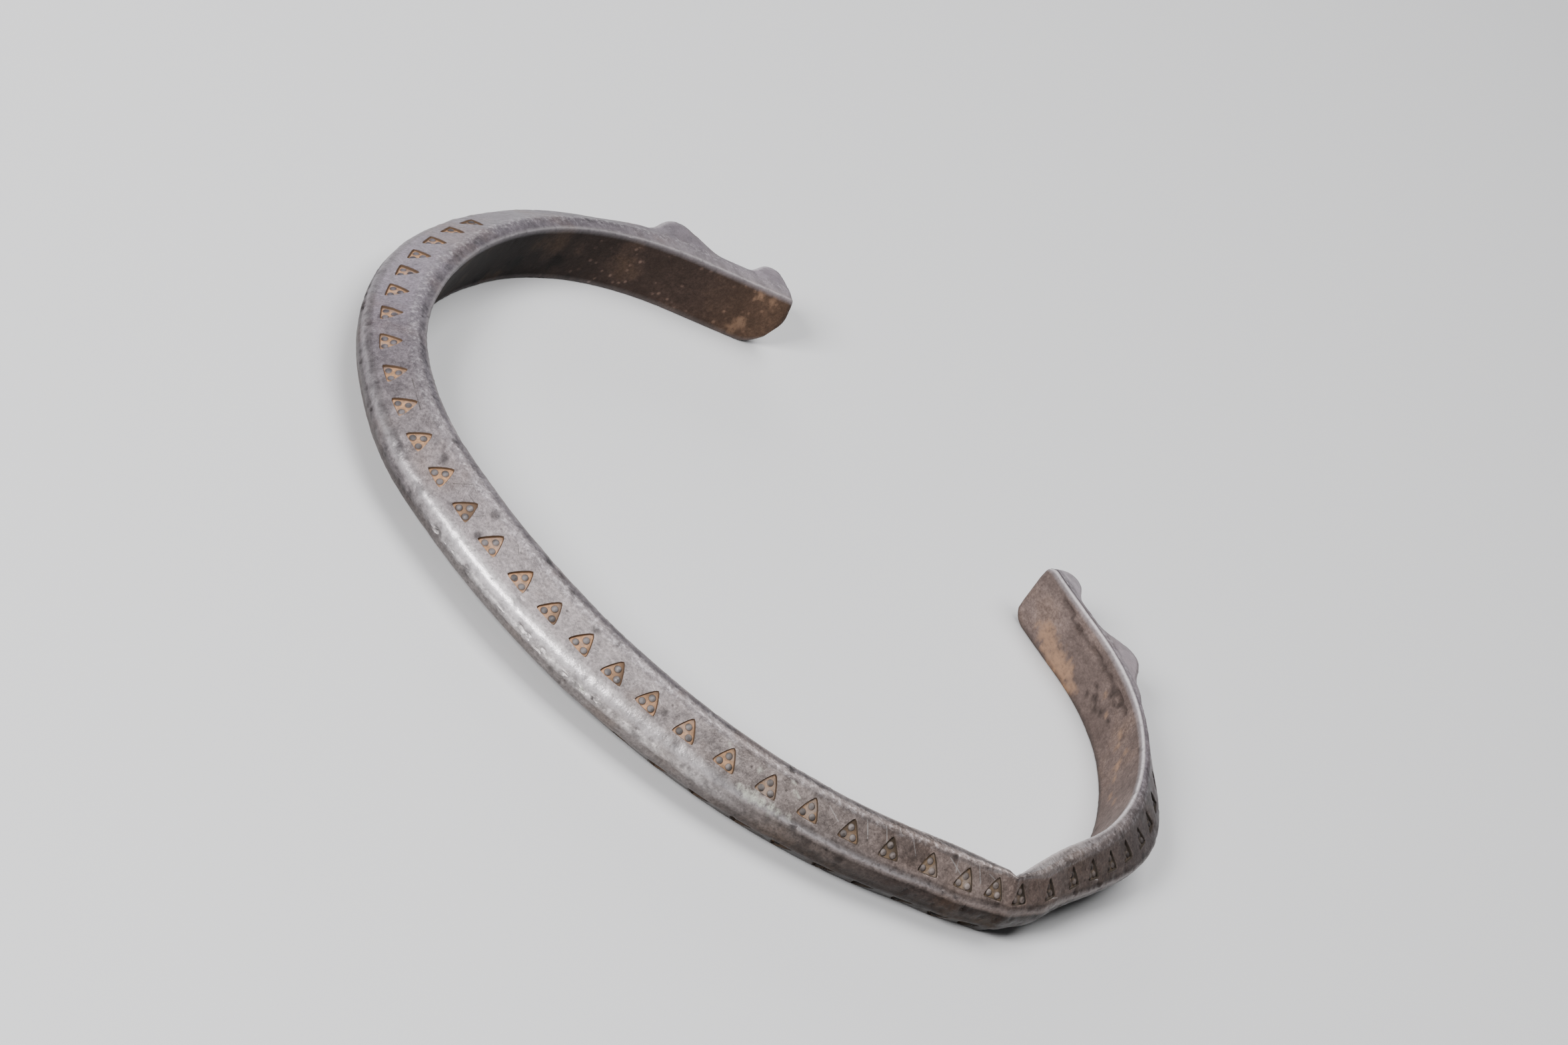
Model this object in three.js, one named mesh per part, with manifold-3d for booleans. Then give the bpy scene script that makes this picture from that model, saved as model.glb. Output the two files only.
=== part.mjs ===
// Open silver bracelet, lying flat on its lower edge. Millimetres, +Z up.
// One forged bar is bent into an open oval. Its inner face is a flat band. Its outside has an upper and
// a lower bevel with a belly between them. The bar has a sharp crease in its front run, a knobbed end
// on each side of the gap and two rows of punched triangles, one on each bevel.
import * as THREE from 'three';
import * as BufferGeometryUtils from 'three/addons/utils/BufferGeometryUtils.js';
import Module from 'manifold-3d';

// Plan of the inner face, followed from the left end round to the right end.
// Each stretch is an arc: its length along the inner face and how far it turns, in degrees.
const LEFT_END_LENGTH = 8.6;
const LEFT_END_TURN = 0.5;
const LEFT_ARM_LENGTH = 17.0;
const LEFT_ARM_TURN = 35.0;
const LEFT_SHOULDER_LENGTH = 18.3;
const LEFT_SHOULDER_TURN = 32.3;
const LEFT_BEND_LENGTH = 15.2;
const LEFT_BEND_TURN = 49.8;
const FRONT_LEFT_LENGTH = 18.7;
const FRONT_LEFT_TURN = 26.4;
const FRONT_RIGHT_LENGTH = 23.0;
const FRONT_RIGHT_TURN = 34.8;
const BEFORE_CREASE_LENGTH = 8.15;
const BEFORE_CREASE_TURN = -8.2;
const CREASE_LENGTH = 1.1;
const CREASE_TURN = 52.1;
const AFTER_CREASE_LENGTH = 9.8;
const AFTER_CREASE_TURN = -7.6;
const RIGHT_BEND_LENGTH = 18.1;
const RIGHT_BEND_TURN = 44.7;
const RIGHT_ARM_LENGTH = 10.0;
const RIGHT_ARM_TURN = 39.6;
const RIGHT_END_LENGTH = 5.9;
const RIGHT_END_TURN = -3.4;
const START_HEADING = -144.0;

// Section of the bar.
const BAND_HEIGHT = 5.4;
const UPPER_BEVEL_DROP = 2.05;
const LOWER_BEVEL_RISE = 1.5;
const RIDGE_CHAMFER = 0.22;
const BEND_SOFTENING = 3.2;

// Thickness from the inner face to the belly, at places along the bar.
const BELLY_AT_LEFT_NECK = 2.6;
const BELLY_AT_LEFT_ARM = 3.9;
const BELLY_AT_LEFT_SHOULDER = 4.35;
const BELLY_AT_LEFT_BEND = 3.9;
const BELLY_AT_FRONT_LEFT = 4.4;
const BELLY_AT_FRONT_MIDDLE = 3.4;
const BELLY_AT_FRONT_RIGHT = 2.95;
const BELLY_BEFORE_CREASE = 2.8;
const BELLY_AT_CREASE = 1.9;
const BELLY_AFTER_CREASE = 2.75;
const BELLY_AT_RIGHT_BEND = 3.1;
const BELLY_AT_RIGHT_ARM = 3.8;
const BELLY_AT_RIGHT_NECK = 1.7;

// How far the lower ridge stands back from the upper one.
const LOWER_SET_BACK_AT_LEFT_BEND = 0.5;
const LOWER_SET_BACK_AT_RIGHT_BEND = 0.5;

// Width of the flat strips between the inner face and the bevels.
const UPPER_STRIP_AT_LEFT = 1.25;
const UPPER_STRIP_AT_LEFT_BEND = 1.1;
const UPPER_STRIP_AT_FRONT_RIGHT = 0.9;
const UPPER_STRIP_AT_CREASE = 0.35;
const UPPER_STRIP_AFTER_CREASE = 1.0;
const UPPER_STRIP_AT_RIGHT = 0.65;
const LOWER_STRIP_AT_FRONT = 1.5;
const LOWER_STRIP_AT_CREASE = 0.9;
const LOWER_STRIP_AT_ENDS = 1.0;

// Knobbed ends. Places are measured back from the tip.
const END_BEVEL_DROP = 0.5;
const END_BEVEL_FADE = 4.0;
const LEFT_WAIST = 2.5;
const LEFT_KNOB_AT = 9.6;
const LEFT_KNOB_RISE = 2.2;
const LEFT_KNOB_REACH = 3.5;
const LEFT_TIP_AT = 1.3;
const LEFT_TIP_RISE = 1.45;
const LEFT_TIP_REACH = 2.8;
const RIGHT_WAIST = 1.35;
const RIGHT_KNOB_AT = 8.1;
const RIGHT_KNOB_RISE = 2.1;
const RIGHT_KNOB_REACH = 3.0;
const RIGHT_TIP_AT = 1.2;
const RIGHT_TIP_RISE = 1.75;
const RIGHT_TIP_REACH = 2.4;
const END_CORNER_ROUND = 0.8;
const LEFT_TIP_ROUND_ABOVE = 0.6;
const LEFT_TIP_ROUND_BELOW = 1.5;
const RIGHT_TIP_ROUND_ABOVE = 0.6;
const RIGHT_TIP_ROUND_BELOW = 2.3;
const CORNER_FULLNESS = 0.97;

// Punched triangles, one row on each bevel.
const STAMP_WIDTH = 1.75;
const STAMP_HEIGHT = 1.6;
const STAMP_DEPTH = 0.24;
const PUNCH_STANDS_OUT = 0.5;
const STAMP_PITCH_AT_LEFT_SHOULDER = 2.9;
const STAMP_PITCH_AT_LEFT_BEND = 3.22;
const STAMP_PITCH_AT_FRONT_LEFT = 3.06;
const STAMP_PITCH_AT_FRONT_MIDDLE = 2.92;
const STAMP_PITCH_AT_FRONT_RIGHT = 3.38;
const STAMP_PITCH_AT_CREASE = 2.45;
const STAMP_PITCH_AFTER_CREASE = 4.2;
const STAMP_PITCH_AT_RIGHT_BEND = 2.72;
const STAMP_SEARCH_STEP = 0.02;
const STAMP_CLEAR_OF_RIDGE = 0.4;
const STAMP_NEARER_RIDGE = 0.4;
const FIRST_STAMP_FROM_LEFT_TIP = 30.4;
const LAST_STAMP_FROM_RIGHT_TIP = 18.6;

// Spacing of the sections that the faceted bar is made of.
const STATION_STEP = 1.6;
const END_STATION_STEP = 0.55;
const TIP_STATION_STEP = 0.28;
const NEAR_CREASE_STATION_STEP = 0.48;
const CREASE_STATION_STEP = 0.18;
const CREASE_REACH = 1.0;

// Places part of the way along a stretch, as shares of its length.
const EARLY = 0.3;
const MIDDLE = 0.5;
const LATE = 0.7;

// Widest strip that a thin bar keeps, as a share of its thickness.
const MOST_STRIP = 0.6;

const STRETCHES = [
  [LEFT_END_LENGTH, LEFT_END_TURN],
  [LEFT_ARM_LENGTH, LEFT_ARM_TURN],
  [LEFT_SHOULDER_LENGTH, LEFT_SHOULDER_TURN],
  [LEFT_BEND_LENGTH, LEFT_BEND_TURN],
  [FRONT_LEFT_LENGTH, FRONT_LEFT_TURN],
  [FRONT_RIGHT_LENGTH, FRONT_RIGHT_TURN],
  [BEFORE_CREASE_LENGTH, BEFORE_CREASE_TURN],
  [CREASE_LENGTH, CREASE_TURN],
  [AFTER_CREASE_LENGTH, AFTER_CREASE_TURN],
  [RIGHT_BEND_LENGTH, RIGHT_BEND_TURN],
  [RIGHT_ARM_LENGTH, RIGHT_ARM_TURN],
  [RIGHT_END_LENGTH, RIGHT_END_TURN],
];
const BAR_LENGTH = STRETCHES.reduce((sum, [length]) => sum + length, 0);

// Point and heading of the inner face at a distance along the bar.
function planAt(distance) {
  let x = 0;
  let y = 0;
  let heading = THREE.MathUtils.degToRad(START_HEADING);
  let left = distance;
  for (const [length, turn] of STRETCHES) {
    const step = Math.min(left, length);
    const swing = THREE.MathUtils.degToRad(turn) * step / length;
    const middle = heading + swing / 2;
    const chord = Math.abs(swing) < 1e-9 ? step : step * Math.sin(swing / 2) / (swing / 2);
    x += chord * Math.cos(middle);
    y += chord * Math.sin(middle);
    heading += swing;
    left -= step;
    if (left <= 0) break;
  }
  return { x, y, heading };
}

// Smooth change between neighbouring places of a table of [distance, value].
function smoothAlong(table, distance) {
  const first = table[0];
  const last = table[table.length - 1];
  if (distance <= first[0]) return first[1];
  if (distance >= last[0]) return last[1];
  const next = table.findIndex(([place]) => place > distance);
  const [from, start] = table[next - 1];
  const [to, end] = table[next];
  return start + (end - start) * THREE.MathUtils.smoothstep(distance, from, to);
}

// Rounded swelling of the ends, one at its middle and nothing at its reach.
function swelling(distance, middle, reach) {
  const share = Math.min(1, Math.abs(distance - middle) / reach);
  return 0.5 + 0.5 * Math.cos(Math.PI * share);
}

const leftShoulderStart = LEFT_END_LENGTH + LEFT_ARM_LENGTH;
const leftBendStart = leftShoulderStart + LEFT_SHOULDER_LENGTH;
const frontLeftStart = leftBendStart + LEFT_BEND_LENGTH;
const frontRightStart = frontLeftStart + FRONT_LEFT_LENGTH;
const beforeCreaseStart = frontRightStart + FRONT_RIGHT_LENGTH;
const creaseStart = beforeCreaseStart + BEFORE_CREASE_LENGTH;
const creaseMiddle = creaseStart + CREASE_LENGTH * MIDDLE;
const creaseEnd = creaseStart + CREASE_LENGTH;
const rightBendStart = creaseEnd + AFTER_CREASE_LENGTH;
const rightArmStart = rightBendStart + RIGHT_BEND_LENGTH;

const leftNeck = LEFT_KNOB_AT + LEFT_KNOB_REACH;
const leftArmMiddle = LEFT_END_LENGTH + LEFT_ARM_LENGTH * MIDDLE;
const leftBendMiddle = leftBendStart + LEFT_BEND_LENGTH * MIDDLE;
const frontLeftMiddle = frontLeftStart + FRONT_LEFT_LENGTH * MIDDLE;
const frontRightEarly = frontRightStart + FRONT_RIGHT_LENGTH * EARLY;
const frontRightLate = frontRightStart + FRONT_RIGHT_LENGTH * LATE;
const nearCrease = beforeCreaseStart + BEFORE_CREASE_LENGTH * MIDDLE;
const afterCrease = creaseEnd + AFTER_CREASE_LENGTH * EARLY;
const rightBendMiddle = rightBendStart + RIGHT_BEND_LENGTH * MIDDLE;
const rightNeck = BAR_LENGTH - RIGHT_KNOB_AT - RIGHT_KNOB_REACH;

const BELLY_TABLE = [
  [LEFT_KNOB_AT - LEFT_KNOB_REACH, LEFT_WAIST],
  [leftNeck, BELLY_AT_LEFT_NECK],
  [leftArmMiddle, BELLY_AT_LEFT_ARM],
  [leftShoulderStart, BELLY_AT_LEFT_ARM],
  [leftShoulderStart + LEFT_SHOULDER_LENGTH * LATE, BELLY_AT_LEFT_SHOULDER],
  [leftBendMiddle, BELLY_AT_LEFT_BEND],
  [frontLeftStart, BELLY_AT_FRONT_LEFT],
  [frontLeftMiddle, BELLY_AT_FRONT_LEFT],
  [frontRightEarly, BELLY_AT_FRONT_MIDDLE],
  [frontRightLate, BELLY_AT_FRONT_RIGHT],
  [nearCrease, BELLY_BEFORE_CREASE],
  [creaseMiddle, BELLY_AT_CREASE],
  [afterCrease, BELLY_AFTER_CREASE],
  [rightBendStart, BELLY_AT_RIGHT_BEND],
  [rightBendMiddle, BELLY_AT_RIGHT_ARM],
  [rightNeck, BELLY_AT_RIGHT_NECK],
  [BAR_LENGTH - RIGHT_KNOB_AT + RIGHT_KNOB_REACH, RIGHT_WAIST],
];
const UPPER_STRIP_TABLE = [
  [leftShoulderStart, UPPER_STRIP_AT_LEFT],
  [leftBendMiddle, UPPER_STRIP_AT_LEFT_BEND],
  [frontRightStart, UPPER_STRIP_AT_LEFT_BEND],
  [frontRightLate, UPPER_STRIP_AT_FRONT_RIGHT],
  [nearCrease, UPPER_STRIP_AT_FRONT_RIGHT],
  [creaseMiddle, UPPER_STRIP_AT_CREASE],
  [afterCrease, UPPER_STRIP_AFTER_CREASE],
  [rightArmStart, UPPER_STRIP_AT_RIGHT],
];
const LOWER_STRIP_TABLE = [
  [leftArmMiddle, LOWER_STRIP_AT_ENDS],
  [frontLeftStart, LOWER_STRIP_AT_FRONT],
  [nearCrease, LOWER_STRIP_AT_FRONT],
  [creaseMiddle, LOWER_STRIP_AT_CREASE],
  [rightArmStart, LOWER_STRIP_AT_ENDS],
];
const SET_BACK_TABLE = [
  [leftShoulderStart, 0],
  [leftBendMiddle, LOWER_SET_BACK_AT_LEFT_BEND],
  [frontLeftMiddle, LOWER_SET_BACK_AT_LEFT_BEND],
  [frontRightStart, 0],
  [creaseMiddle, 0],
  [rightBendStart, LOWER_SET_BACK_AT_RIGHT_BEND],
  [rightBendMiddle, LOWER_SET_BACK_AT_RIGHT_BEND],
  [rightNeck, 0],
];
const BEVEL_TABLE = [
  [leftNeck, 0],
  [leftNeck + END_BEVEL_FADE, 1],
  [rightNeck - END_BEVEL_FADE, 1],
  [rightNeck, 0],
];
const STAMP_PITCH_TABLE = [
  [leftBendStart, STAMP_PITCH_AT_LEFT_SHOULDER],
  [leftBendStart + LEFT_BEND_LENGTH * EARLY, STAMP_PITCH_AT_LEFT_BEND],
  [leftBendStart + LEFT_BEND_LENGTH * LATE, STAMP_PITCH_AT_LEFT_BEND],
  [frontLeftStart, STAMP_PITCH_AT_FRONT_LEFT],
  [frontLeftMiddle, STAMP_PITCH_AT_FRONT_LEFT],
  [frontLeftStart + FRONT_LEFT_LENGTH * LATE, STAMP_PITCH_AT_FRONT_MIDDLE],
  [frontRightStart, STAMP_PITCH_AT_FRONT_MIDDLE],
  [frontRightEarly, STAMP_PITCH_AT_FRONT_RIGHT],
  [beforeCreaseStart, STAMP_PITCH_AT_FRONT_RIGHT],
  [creaseStart, STAMP_PITCH_AT_CREASE],
  [afterCrease, STAMP_PITCH_AFTER_CREASE],
  [creaseEnd + AFTER_CREASE_LENGTH * LATE, STAMP_PITCH_AT_RIGHT_BEND],
];

// Sizes of the section at a distance along the bar.
function sectionAt(distance) {
  const fromRight = BAR_LENGTH - distance;
  const fromTip = Math.min(distance, fromRight);
  const isLeft = distance < fromRight;
  const belly = smoothAlong(BELLY_TABLE, distance)
    + LEFT_KNOB_RISE * swelling(distance, LEFT_KNOB_AT, LEFT_KNOB_REACH)
    + LEFT_TIP_RISE * swelling(distance, LEFT_TIP_AT, LEFT_TIP_REACH)
    + RIGHT_KNOB_RISE * swelling(fromRight, RIGHT_KNOB_AT, RIGHT_KNOB_REACH)
    + RIGHT_TIP_RISE * swelling(fromRight, RIGHT_TIP_AT, RIGHT_TIP_REACH);
  const bevel = smoothAlong(BEVEL_TABLE, distance);
  const upperDrop = THREE.MathUtils.lerp(END_BEVEL_DROP, UPPER_BEVEL_DROP, bevel);
  const lowerRise = THREE.MathUtils.lerp(END_BEVEL_DROP, LOWER_BEVEL_RISE, bevel);
  const upperStrip = Math.min(smoothAlong(UPPER_STRIP_TABLE, distance), belly * MOST_STRIP);
  const lowerStrip = Math.min(smoothAlong(LOWER_STRIP_TABLE, distance), belly * MOST_STRIP);
  const above = cornerRounding(fromTip, isLeft ? LEFT_TIP_ROUND_ABOVE : RIGHT_TIP_ROUND_ABOVE);
  const below = cornerRounding(fromTip, isLeft ? LEFT_TIP_ROUND_BELOW : RIGHT_TIP_ROUND_BELOW);
  const outside = cornerRounding(fromTip, END_CORNER_ROUND);
  return {
    belly: belly - outside,
    lowerBelly: belly - outside - smoothAlong(SET_BACK_TABLE, distance),
    upperStrip,
    lowerStrip,
    upperDrop,
    lowerRise,
    top: BAND_HEIGHT - above,
    bottom: below,
  };
}

// How far a rounded corner has cut in at a distance from the tip.
function cornerRounding(fromTip, radius) {
  if (fromTip >= radius) return 0;
  const along = radius - fromTip;
  return radius - Math.sqrt(radius * radius - along * along * CORNER_FULLNESS);
}

// Outline of the bar across its length: [outward, up], round from the inner lower edge.
function outlineAt(distance) {
  const section = sectionAt(distance);
  const { belly, lowerBelly, upperStrip, lowerStrip, upperDrop, lowerRise, top, bottom } = section;
  const upperRidge = top - upperDrop;
  const lowerRidge = bottom + lowerRise;
  const upperCut = RIDGE_CHAMFER / Math.hypot(belly - upperStrip, upperDrop);
  const lowerCut = RIDGE_CHAMFER / Math.hypot(lowerBelly - lowerStrip, lowerRise);
  return [
    [0, bottom],
    [lowerStrip, bottom],
    [lowerBelly - (lowerBelly - lowerStrip) * lowerCut, lowerRidge - lowerRise * lowerCut],
    [lowerBelly, lowerRidge + RIDGE_CHAMFER],
    [belly, upperRidge - RIDGE_CHAMFER],
    [belly - (belly - upperStrip) * upperCut, upperRidge + upperDrop * upperCut],
    [upperStrip, top],
    [0, top],
  ];
}

// Heading of the outside of the bar, which turns more gently than the inner face does.
function outerHeadingAt(distance) {
  const before = planAt(Math.max(0, distance - BEND_SOFTENING));
  const after = planAt(Math.min(BAR_LENGTH, distance + BEND_SOFTENING));
  return Math.atan2(after.y - before.y, after.x - before.x);
}

// A place in space from a distance along the bar, a distance outward and a height.
function pointOnBar(distance, outward, height) {
  const { x, y } = planAt(distance);
  const heading = outerHeadingAt(distance);
  return new THREE.Vector3(x + outward * Math.sin(heading), y - outward * Math.cos(heading), height);
}

function stationPlaces() {
  const places = [0];
  while (places[places.length - 1] < BAR_LENGTH) {
    const place = places[places.length - 1];
    const fromTip = Math.min(place, BAR_LENGTH - place);
    const fromCrease = Math.abs(place - creaseMiddle);
    let step = STATION_STEP;
    if (fromTip < leftNeck) step = END_STATION_STEP;
    if (fromTip < LEFT_TIP_ROUND_BELOW) step = TIP_STATION_STEP;
    if (fromCrease < BEFORE_CREASE_LENGTH * MIDDLE) step = NEAR_CREASE_STATION_STEP;
    if (fromCrease < CREASE_REACH) step = CREASE_STATION_STEP;
    places.push(place + step);
  }
  const stretch = BAR_LENGTH / places[places.length - 1];
  return places.map((place) => place * stretch);
}

// The bar without its stamps, as one closed mesh of quads with a fan at each end.
function barGeometry() {
  const places = stationPlaces();
  const positions = [];
  for (const place of places) {
    for (const [outward, height] of outlineAt(place)) {
      positions.push(...pointOnBar(place, outward, height).toArray());
    }
  }
  const corners = outlineAt(0).length;
  const indices = [];
  for (let station = 0; station < places.length - 1; station += 1) {
    for (let corner = 0; corner < corners; corner += 1) {
      const a = station * corners + corner;
      const b = station * corners + (corner + 1) % corners;
      indices.push(a, b + corners, b, a, a + corners, b + corners);
    }
  }
  const last = (places.length - 1) * corners;
  for (let corner = 1; corner < corners - 1; corner += 1) {
    indices.push(0, corner, corner + 1);
    indices.push(last, last + corner + 1, last + corner);
  }
  const geometry = new THREE.BufferGeometry();
  geometry.setAttribute('position', new THREE.Float32BufferAttribute(positions, 3));
  geometry.setIndex(indices);
  return geometry;
}

// Distances along the bar of the stamps. Their pitch is measured where the punch met the bevel.
function stampPlaces() {
  const places = [];
  const last = BAR_LENGTH - LAST_STAMP_FROM_RIGHT_TIP;
  let sinceStamp = 1;
  let before = null;
  for (let place = FIRST_STAMP_FROM_LEFT_TIP; place <= last; place += STAMP_SEARCH_STEP) {
    const { belly, upperStrip } = sectionAt(place);
    const here = pointOnBar(place, (belly + upperStrip) / 2, 0);
    if (before) sinceStamp += here.distanceTo(before) / smoothAlong(STAMP_PITCH_TABLE, place);
    before = here;
    if (sinceStamp >= 1) {
      places.push(place);
      sinceStamp -= 1;
    }
  }
  return places;
}

// One punch, its triangle standing on the ridge side of the bevel and pointing inward.
function stampGeometry(place, upper) {
  const section = sectionAt(place);
  const ridge = upper
    ? pointOnBar(place, section.belly, section.top - section.upperDrop)
    : pointOnBar(place, section.lowerBelly, section.bottom + section.lowerRise);
  const edge = upper
    ? pointOnBar(place, section.upperStrip, section.top)
    : pointOnBar(place, section.lowerStrip, section.bottom);
  const inward = edge.clone().sub(ridge);
  const bevelWidth = inward.length();
  inward.normalize();
  const heading = outerHeadingAt(place);
  const along = new THREE.Vector3(Math.cos(heading), Math.sin(heading), 0);
  const outOfFace = new THREE.Vector3().crossVectors(along, inward).normalize();
  if (!upper) {
    along.negate();
    outOfFace.negate();
  }
  const toRidge = Math.max(STAMP_CLEAR_OF_RIDGE, (bevelWidth - STAMP_HEIGHT) * STAMP_NEARER_RIDGE);
  const height = Math.min(STAMP_HEIGHT, bevelWidth - toRidge);
  const shape = new THREE.Shape();
  shape.moveTo(-STAMP_WIDTH / 2, toRidge);
  shape.lineTo(STAMP_WIDTH / 2, toRidge);
  shape.lineTo(0, toRidge + height);
  shape.closePath();
  const depth = STAMP_DEPTH + PUNCH_STANDS_OUT;
  const geometry = new THREE.ExtrudeGeometry(shape, { depth, bevelEnabled: false });
  geometry.translate(0, 0, -STAMP_DEPTH);
  const frame = new THREE.Matrix4().makeBasis(along, inward, outOfFace);
  frame.setPosition(ridge);
  geometry.applyMatrix4(frame);
  return geometry;
}

const wasm = await Module();
wasm.setup();

function toSolid(geometry) {
  const bare = geometry.clone();
  bare.deleteAttribute('normal');
  bare.deleteAttribute('uv');
  const merged = BufferGeometryUtils.mergeVertices(bare, 1e-5);
  const mesh = new wasm.Mesh({
    numProp: 3,
    vertProperties: new Float32Array(merged.attributes.position.array),
    triVerts: new Uint32Array(merged.index.array),
  });
  return new wasm.Manifold(mesh);
}

function toGeometry(solid) {
  const mesh = solid.getMesh();
  const geometry = new THREE.BufferGeometry();
  geometry.setAttribute('position', new THREE.BufferAttribute(mesh.vertProperties, 3));
  geometry.setIndex(new THREE.BufferAttribute(mesh.triVerts, 1));
  return geometry;
}

function stampedBar() {
  let solid = toSolid(barGeometry());
  for (const place of stampPlaces()) {
    for (const upper of [true, false]) {
      solid = solid.subtract(toSolid(stampGeometry(place, upper)));
    }
  }
  return toGeometry(solid);
}

// The bar, centred over the origin and lying on z = 0.
function braceletGeometry() {
  const geometry = stampedBar();
  geometry.computeBoundingBox();
  const centre = geometry.boundingBox.getCenter(new THREE.Vector3());
  geometry.translate(-centre.x, -centre.y, -geometry.boundingBox.min.z);
  geometry.computeVertexNormals();
  return geometry;
}

const tarnishedSilver = new THREE.MeshStandardMaterial({ color: 0x8a8286, roughness: 0.42, metalness: 0.9 });

const bracelet = new THREE.Mesh(braceletGeometry(), tarnishedSilver);
bracelet.name = 'bracelet';

const group = new THREE.Group();
group.add(bracelet);

export default group;
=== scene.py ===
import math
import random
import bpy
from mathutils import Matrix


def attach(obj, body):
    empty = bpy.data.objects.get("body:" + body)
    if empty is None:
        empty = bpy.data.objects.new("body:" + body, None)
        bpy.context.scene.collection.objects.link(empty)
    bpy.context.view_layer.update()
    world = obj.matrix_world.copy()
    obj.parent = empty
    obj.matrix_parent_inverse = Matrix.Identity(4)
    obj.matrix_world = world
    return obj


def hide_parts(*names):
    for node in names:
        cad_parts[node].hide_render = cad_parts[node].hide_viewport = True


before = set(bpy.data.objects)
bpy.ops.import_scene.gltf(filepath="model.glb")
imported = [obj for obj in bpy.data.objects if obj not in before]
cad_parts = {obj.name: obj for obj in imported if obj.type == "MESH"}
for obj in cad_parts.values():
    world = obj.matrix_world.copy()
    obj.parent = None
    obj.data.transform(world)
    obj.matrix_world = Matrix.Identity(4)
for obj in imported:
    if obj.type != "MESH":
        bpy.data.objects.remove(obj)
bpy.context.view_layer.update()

# Open bracelet of old silver. It is modelled in millimetres and brought to metres at the end. A place
# along the bar is its distance from the left tip, measured on the plan of the inner face.
from types import SimpleNamespace

import bpy
from mathutils import Matrix, Vector, kdtree, noise
from mathutils.bvhtree import BVHTree

MM = 0.001

# Plan of the inner face: length and turn in degrees of each stretch, from the left end to the right.
PLAN = {
    "left end": (8.6, 0.5),
    "left arm": (17.0, 35.0),
    "left shoulder": (18.3, 32.3),
    "left bend": (15.2, 49.8),
    "front left": (18.7, 26.4),
    "front right": (23.0, 34.8),
    "before crease": (8.15, -8.2),
    "crease": (1.1, 52.1),
    "after crease": (9.8, -7.6),
    "right bend": (18.1, 44.7),
    "right arm": (10.0, 39.6),
    "right end": (5.9, -3.4),
}
START_HEADING = -144.0
BAR_LENGTH = sum(length for length, turn in PLAN.values())

# Section of the bar.
BAND_HEIGHT = 5.4
UPPER_DROP = 2.05
LOWER_RISE = 1.5
END_DROP = 0.5
END_FADE = 4.0
BEND_SOFTENING = 3.2
MOST_STRIP = 0.6

# Knobs and tips of the ends: where, how far out and how long, measured from the tip.
LEFT_KNOB = (9.6, 2.2, 3.5)
LEFT_TIP = (1.1, 1.7, 2.8)
RIGHT_KNOB = (8.1, 2.1, 3.0)
RIGHT_TIP = (1.2, 1.75, 2.4)
LEFT_TIP_ROUND = (0.6, 2.2)
RIGHT_TIP_ROUND = (0.6, 1.6)
END_BULGE_REACH = 1.6
LEFT_END_BULGE = ((0.1, 0.0), (0.55, 0.6), (1.0, 0.1))
RIGHT_END_BULGE = ((0.1, 0.0), (0.85, 0.35), (1.0, 0.1))
END_CORNER_ROUND = 0.55
INNER_END_ROUND = 0.35

# How much of a full quarter circle the rounded corners of the tips take.
QUARTER_SHARE = 0.97

# The photo's camera: its place in mm, its angles in degrees, its lens and sensor, and its nearest and
# furthest sight in metres.
CAMERA_AT = (-1.137, -269.62, 157.82)
CAMERA_RISE = 29.5
CAMERA_ROLL = 42.0
CAMERA_LENS = 99.45
CAMERA_SENSOR = 36
CAMERA_SIGHT = (0.01, 10)

# Rounding of the section's corners, and how finely each part of the section is divided.
CORNER_CUTS = {"strip edge": 0.32, "inner edge": 0.2, "lower edge": 0.2}
CORNER_STEPS = 4
BELLY_BULGE = 0.12
BELLY_ROWS = 6
UPPER_BEVEL_ROWS = 14
UPPER_STRIP_ROWS = 4
INNER_ROWS = 14
LOWER_STRIP_ROWS = 4
LOWER_BEVEL_ROWS = 8

# Spacing of the sections along the bar.
STEP = 0.21
NEAR_CREASE_STEP = 0.15
CREASE_STEP = 0.1
WIRE_RADIUS = 0.5
REFINE = 4
UP = Vector((0, 0, 1))

# Faces that meet at less than this many degrees are shaded as one.
SMOOTH_BELOW = 40

# Punched triangles, with arched sides and slanted flanks. The base is the flattest side.
STAMP_WIDTH = 1.85
STAMP_HEIGHT = 1.7
STAMP_DEPTH = 0.2
STAMP_SLANT = 0.09
STAMP_BULGE = 0.1
BASE_BULGE_SHARE = 0.25
STAMP_MIDDLE = 0.36
STAMP_SIDE_POINTS = 8
CORNER_BLUNT = 0.08
PUNCH_STANDS_OUT = 0.5
STAMP_CLEAR_OF_RIDGE = 0.4
STAMP_NEARER_RIDGE = 0.6
FIRST_STAMP = 30.4
LAST_STAMP_FROM_RIGHT = 18.6
STAMP_SEARCH_STEP = 0.02

# Three pellets in each triangle, placed as shares of its width and height.
PELLET_PLACES = ((-0.21, 0.2), (0.21, 0.2), (0.0, 0.56))
PELLET_RADIUS = 0.34
PELLET_RISE = 0.15
PELLET_SEGMENTS = 14
PELLET_RINGS = 10
PELLET_FACE = 0.72

# How far a blow by hand goes astray: turn, rock and lean in degrees, slip and sink in mm.
STRIKE_SEED = 5
STRIKE_TURN = 4
STRIKE_ROCK = 1.5
STRIKE_LEAN = 2.0
STRIKE_SLIP = 0.04
STRIKE_SINK = 0.03


def place(stretch, share=0.0):
    """Distance along the bar of a share of one stretch."""
    distance = 0.0
    for name, (length, turn) in PLAN.items():
        if name == stretch:
            return distance + length * share
        distance += length
    raise KeyError(stretch)


CREASE = place("crease", 0.5)
LEFT_NECK = LEFT_KNOB[0] + LEFT_KNOB[2]
RIGHT_NECK = BAR_LENGTH - RIGHT_KNOB[0] - RIGHT_KNOB[2]

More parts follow.
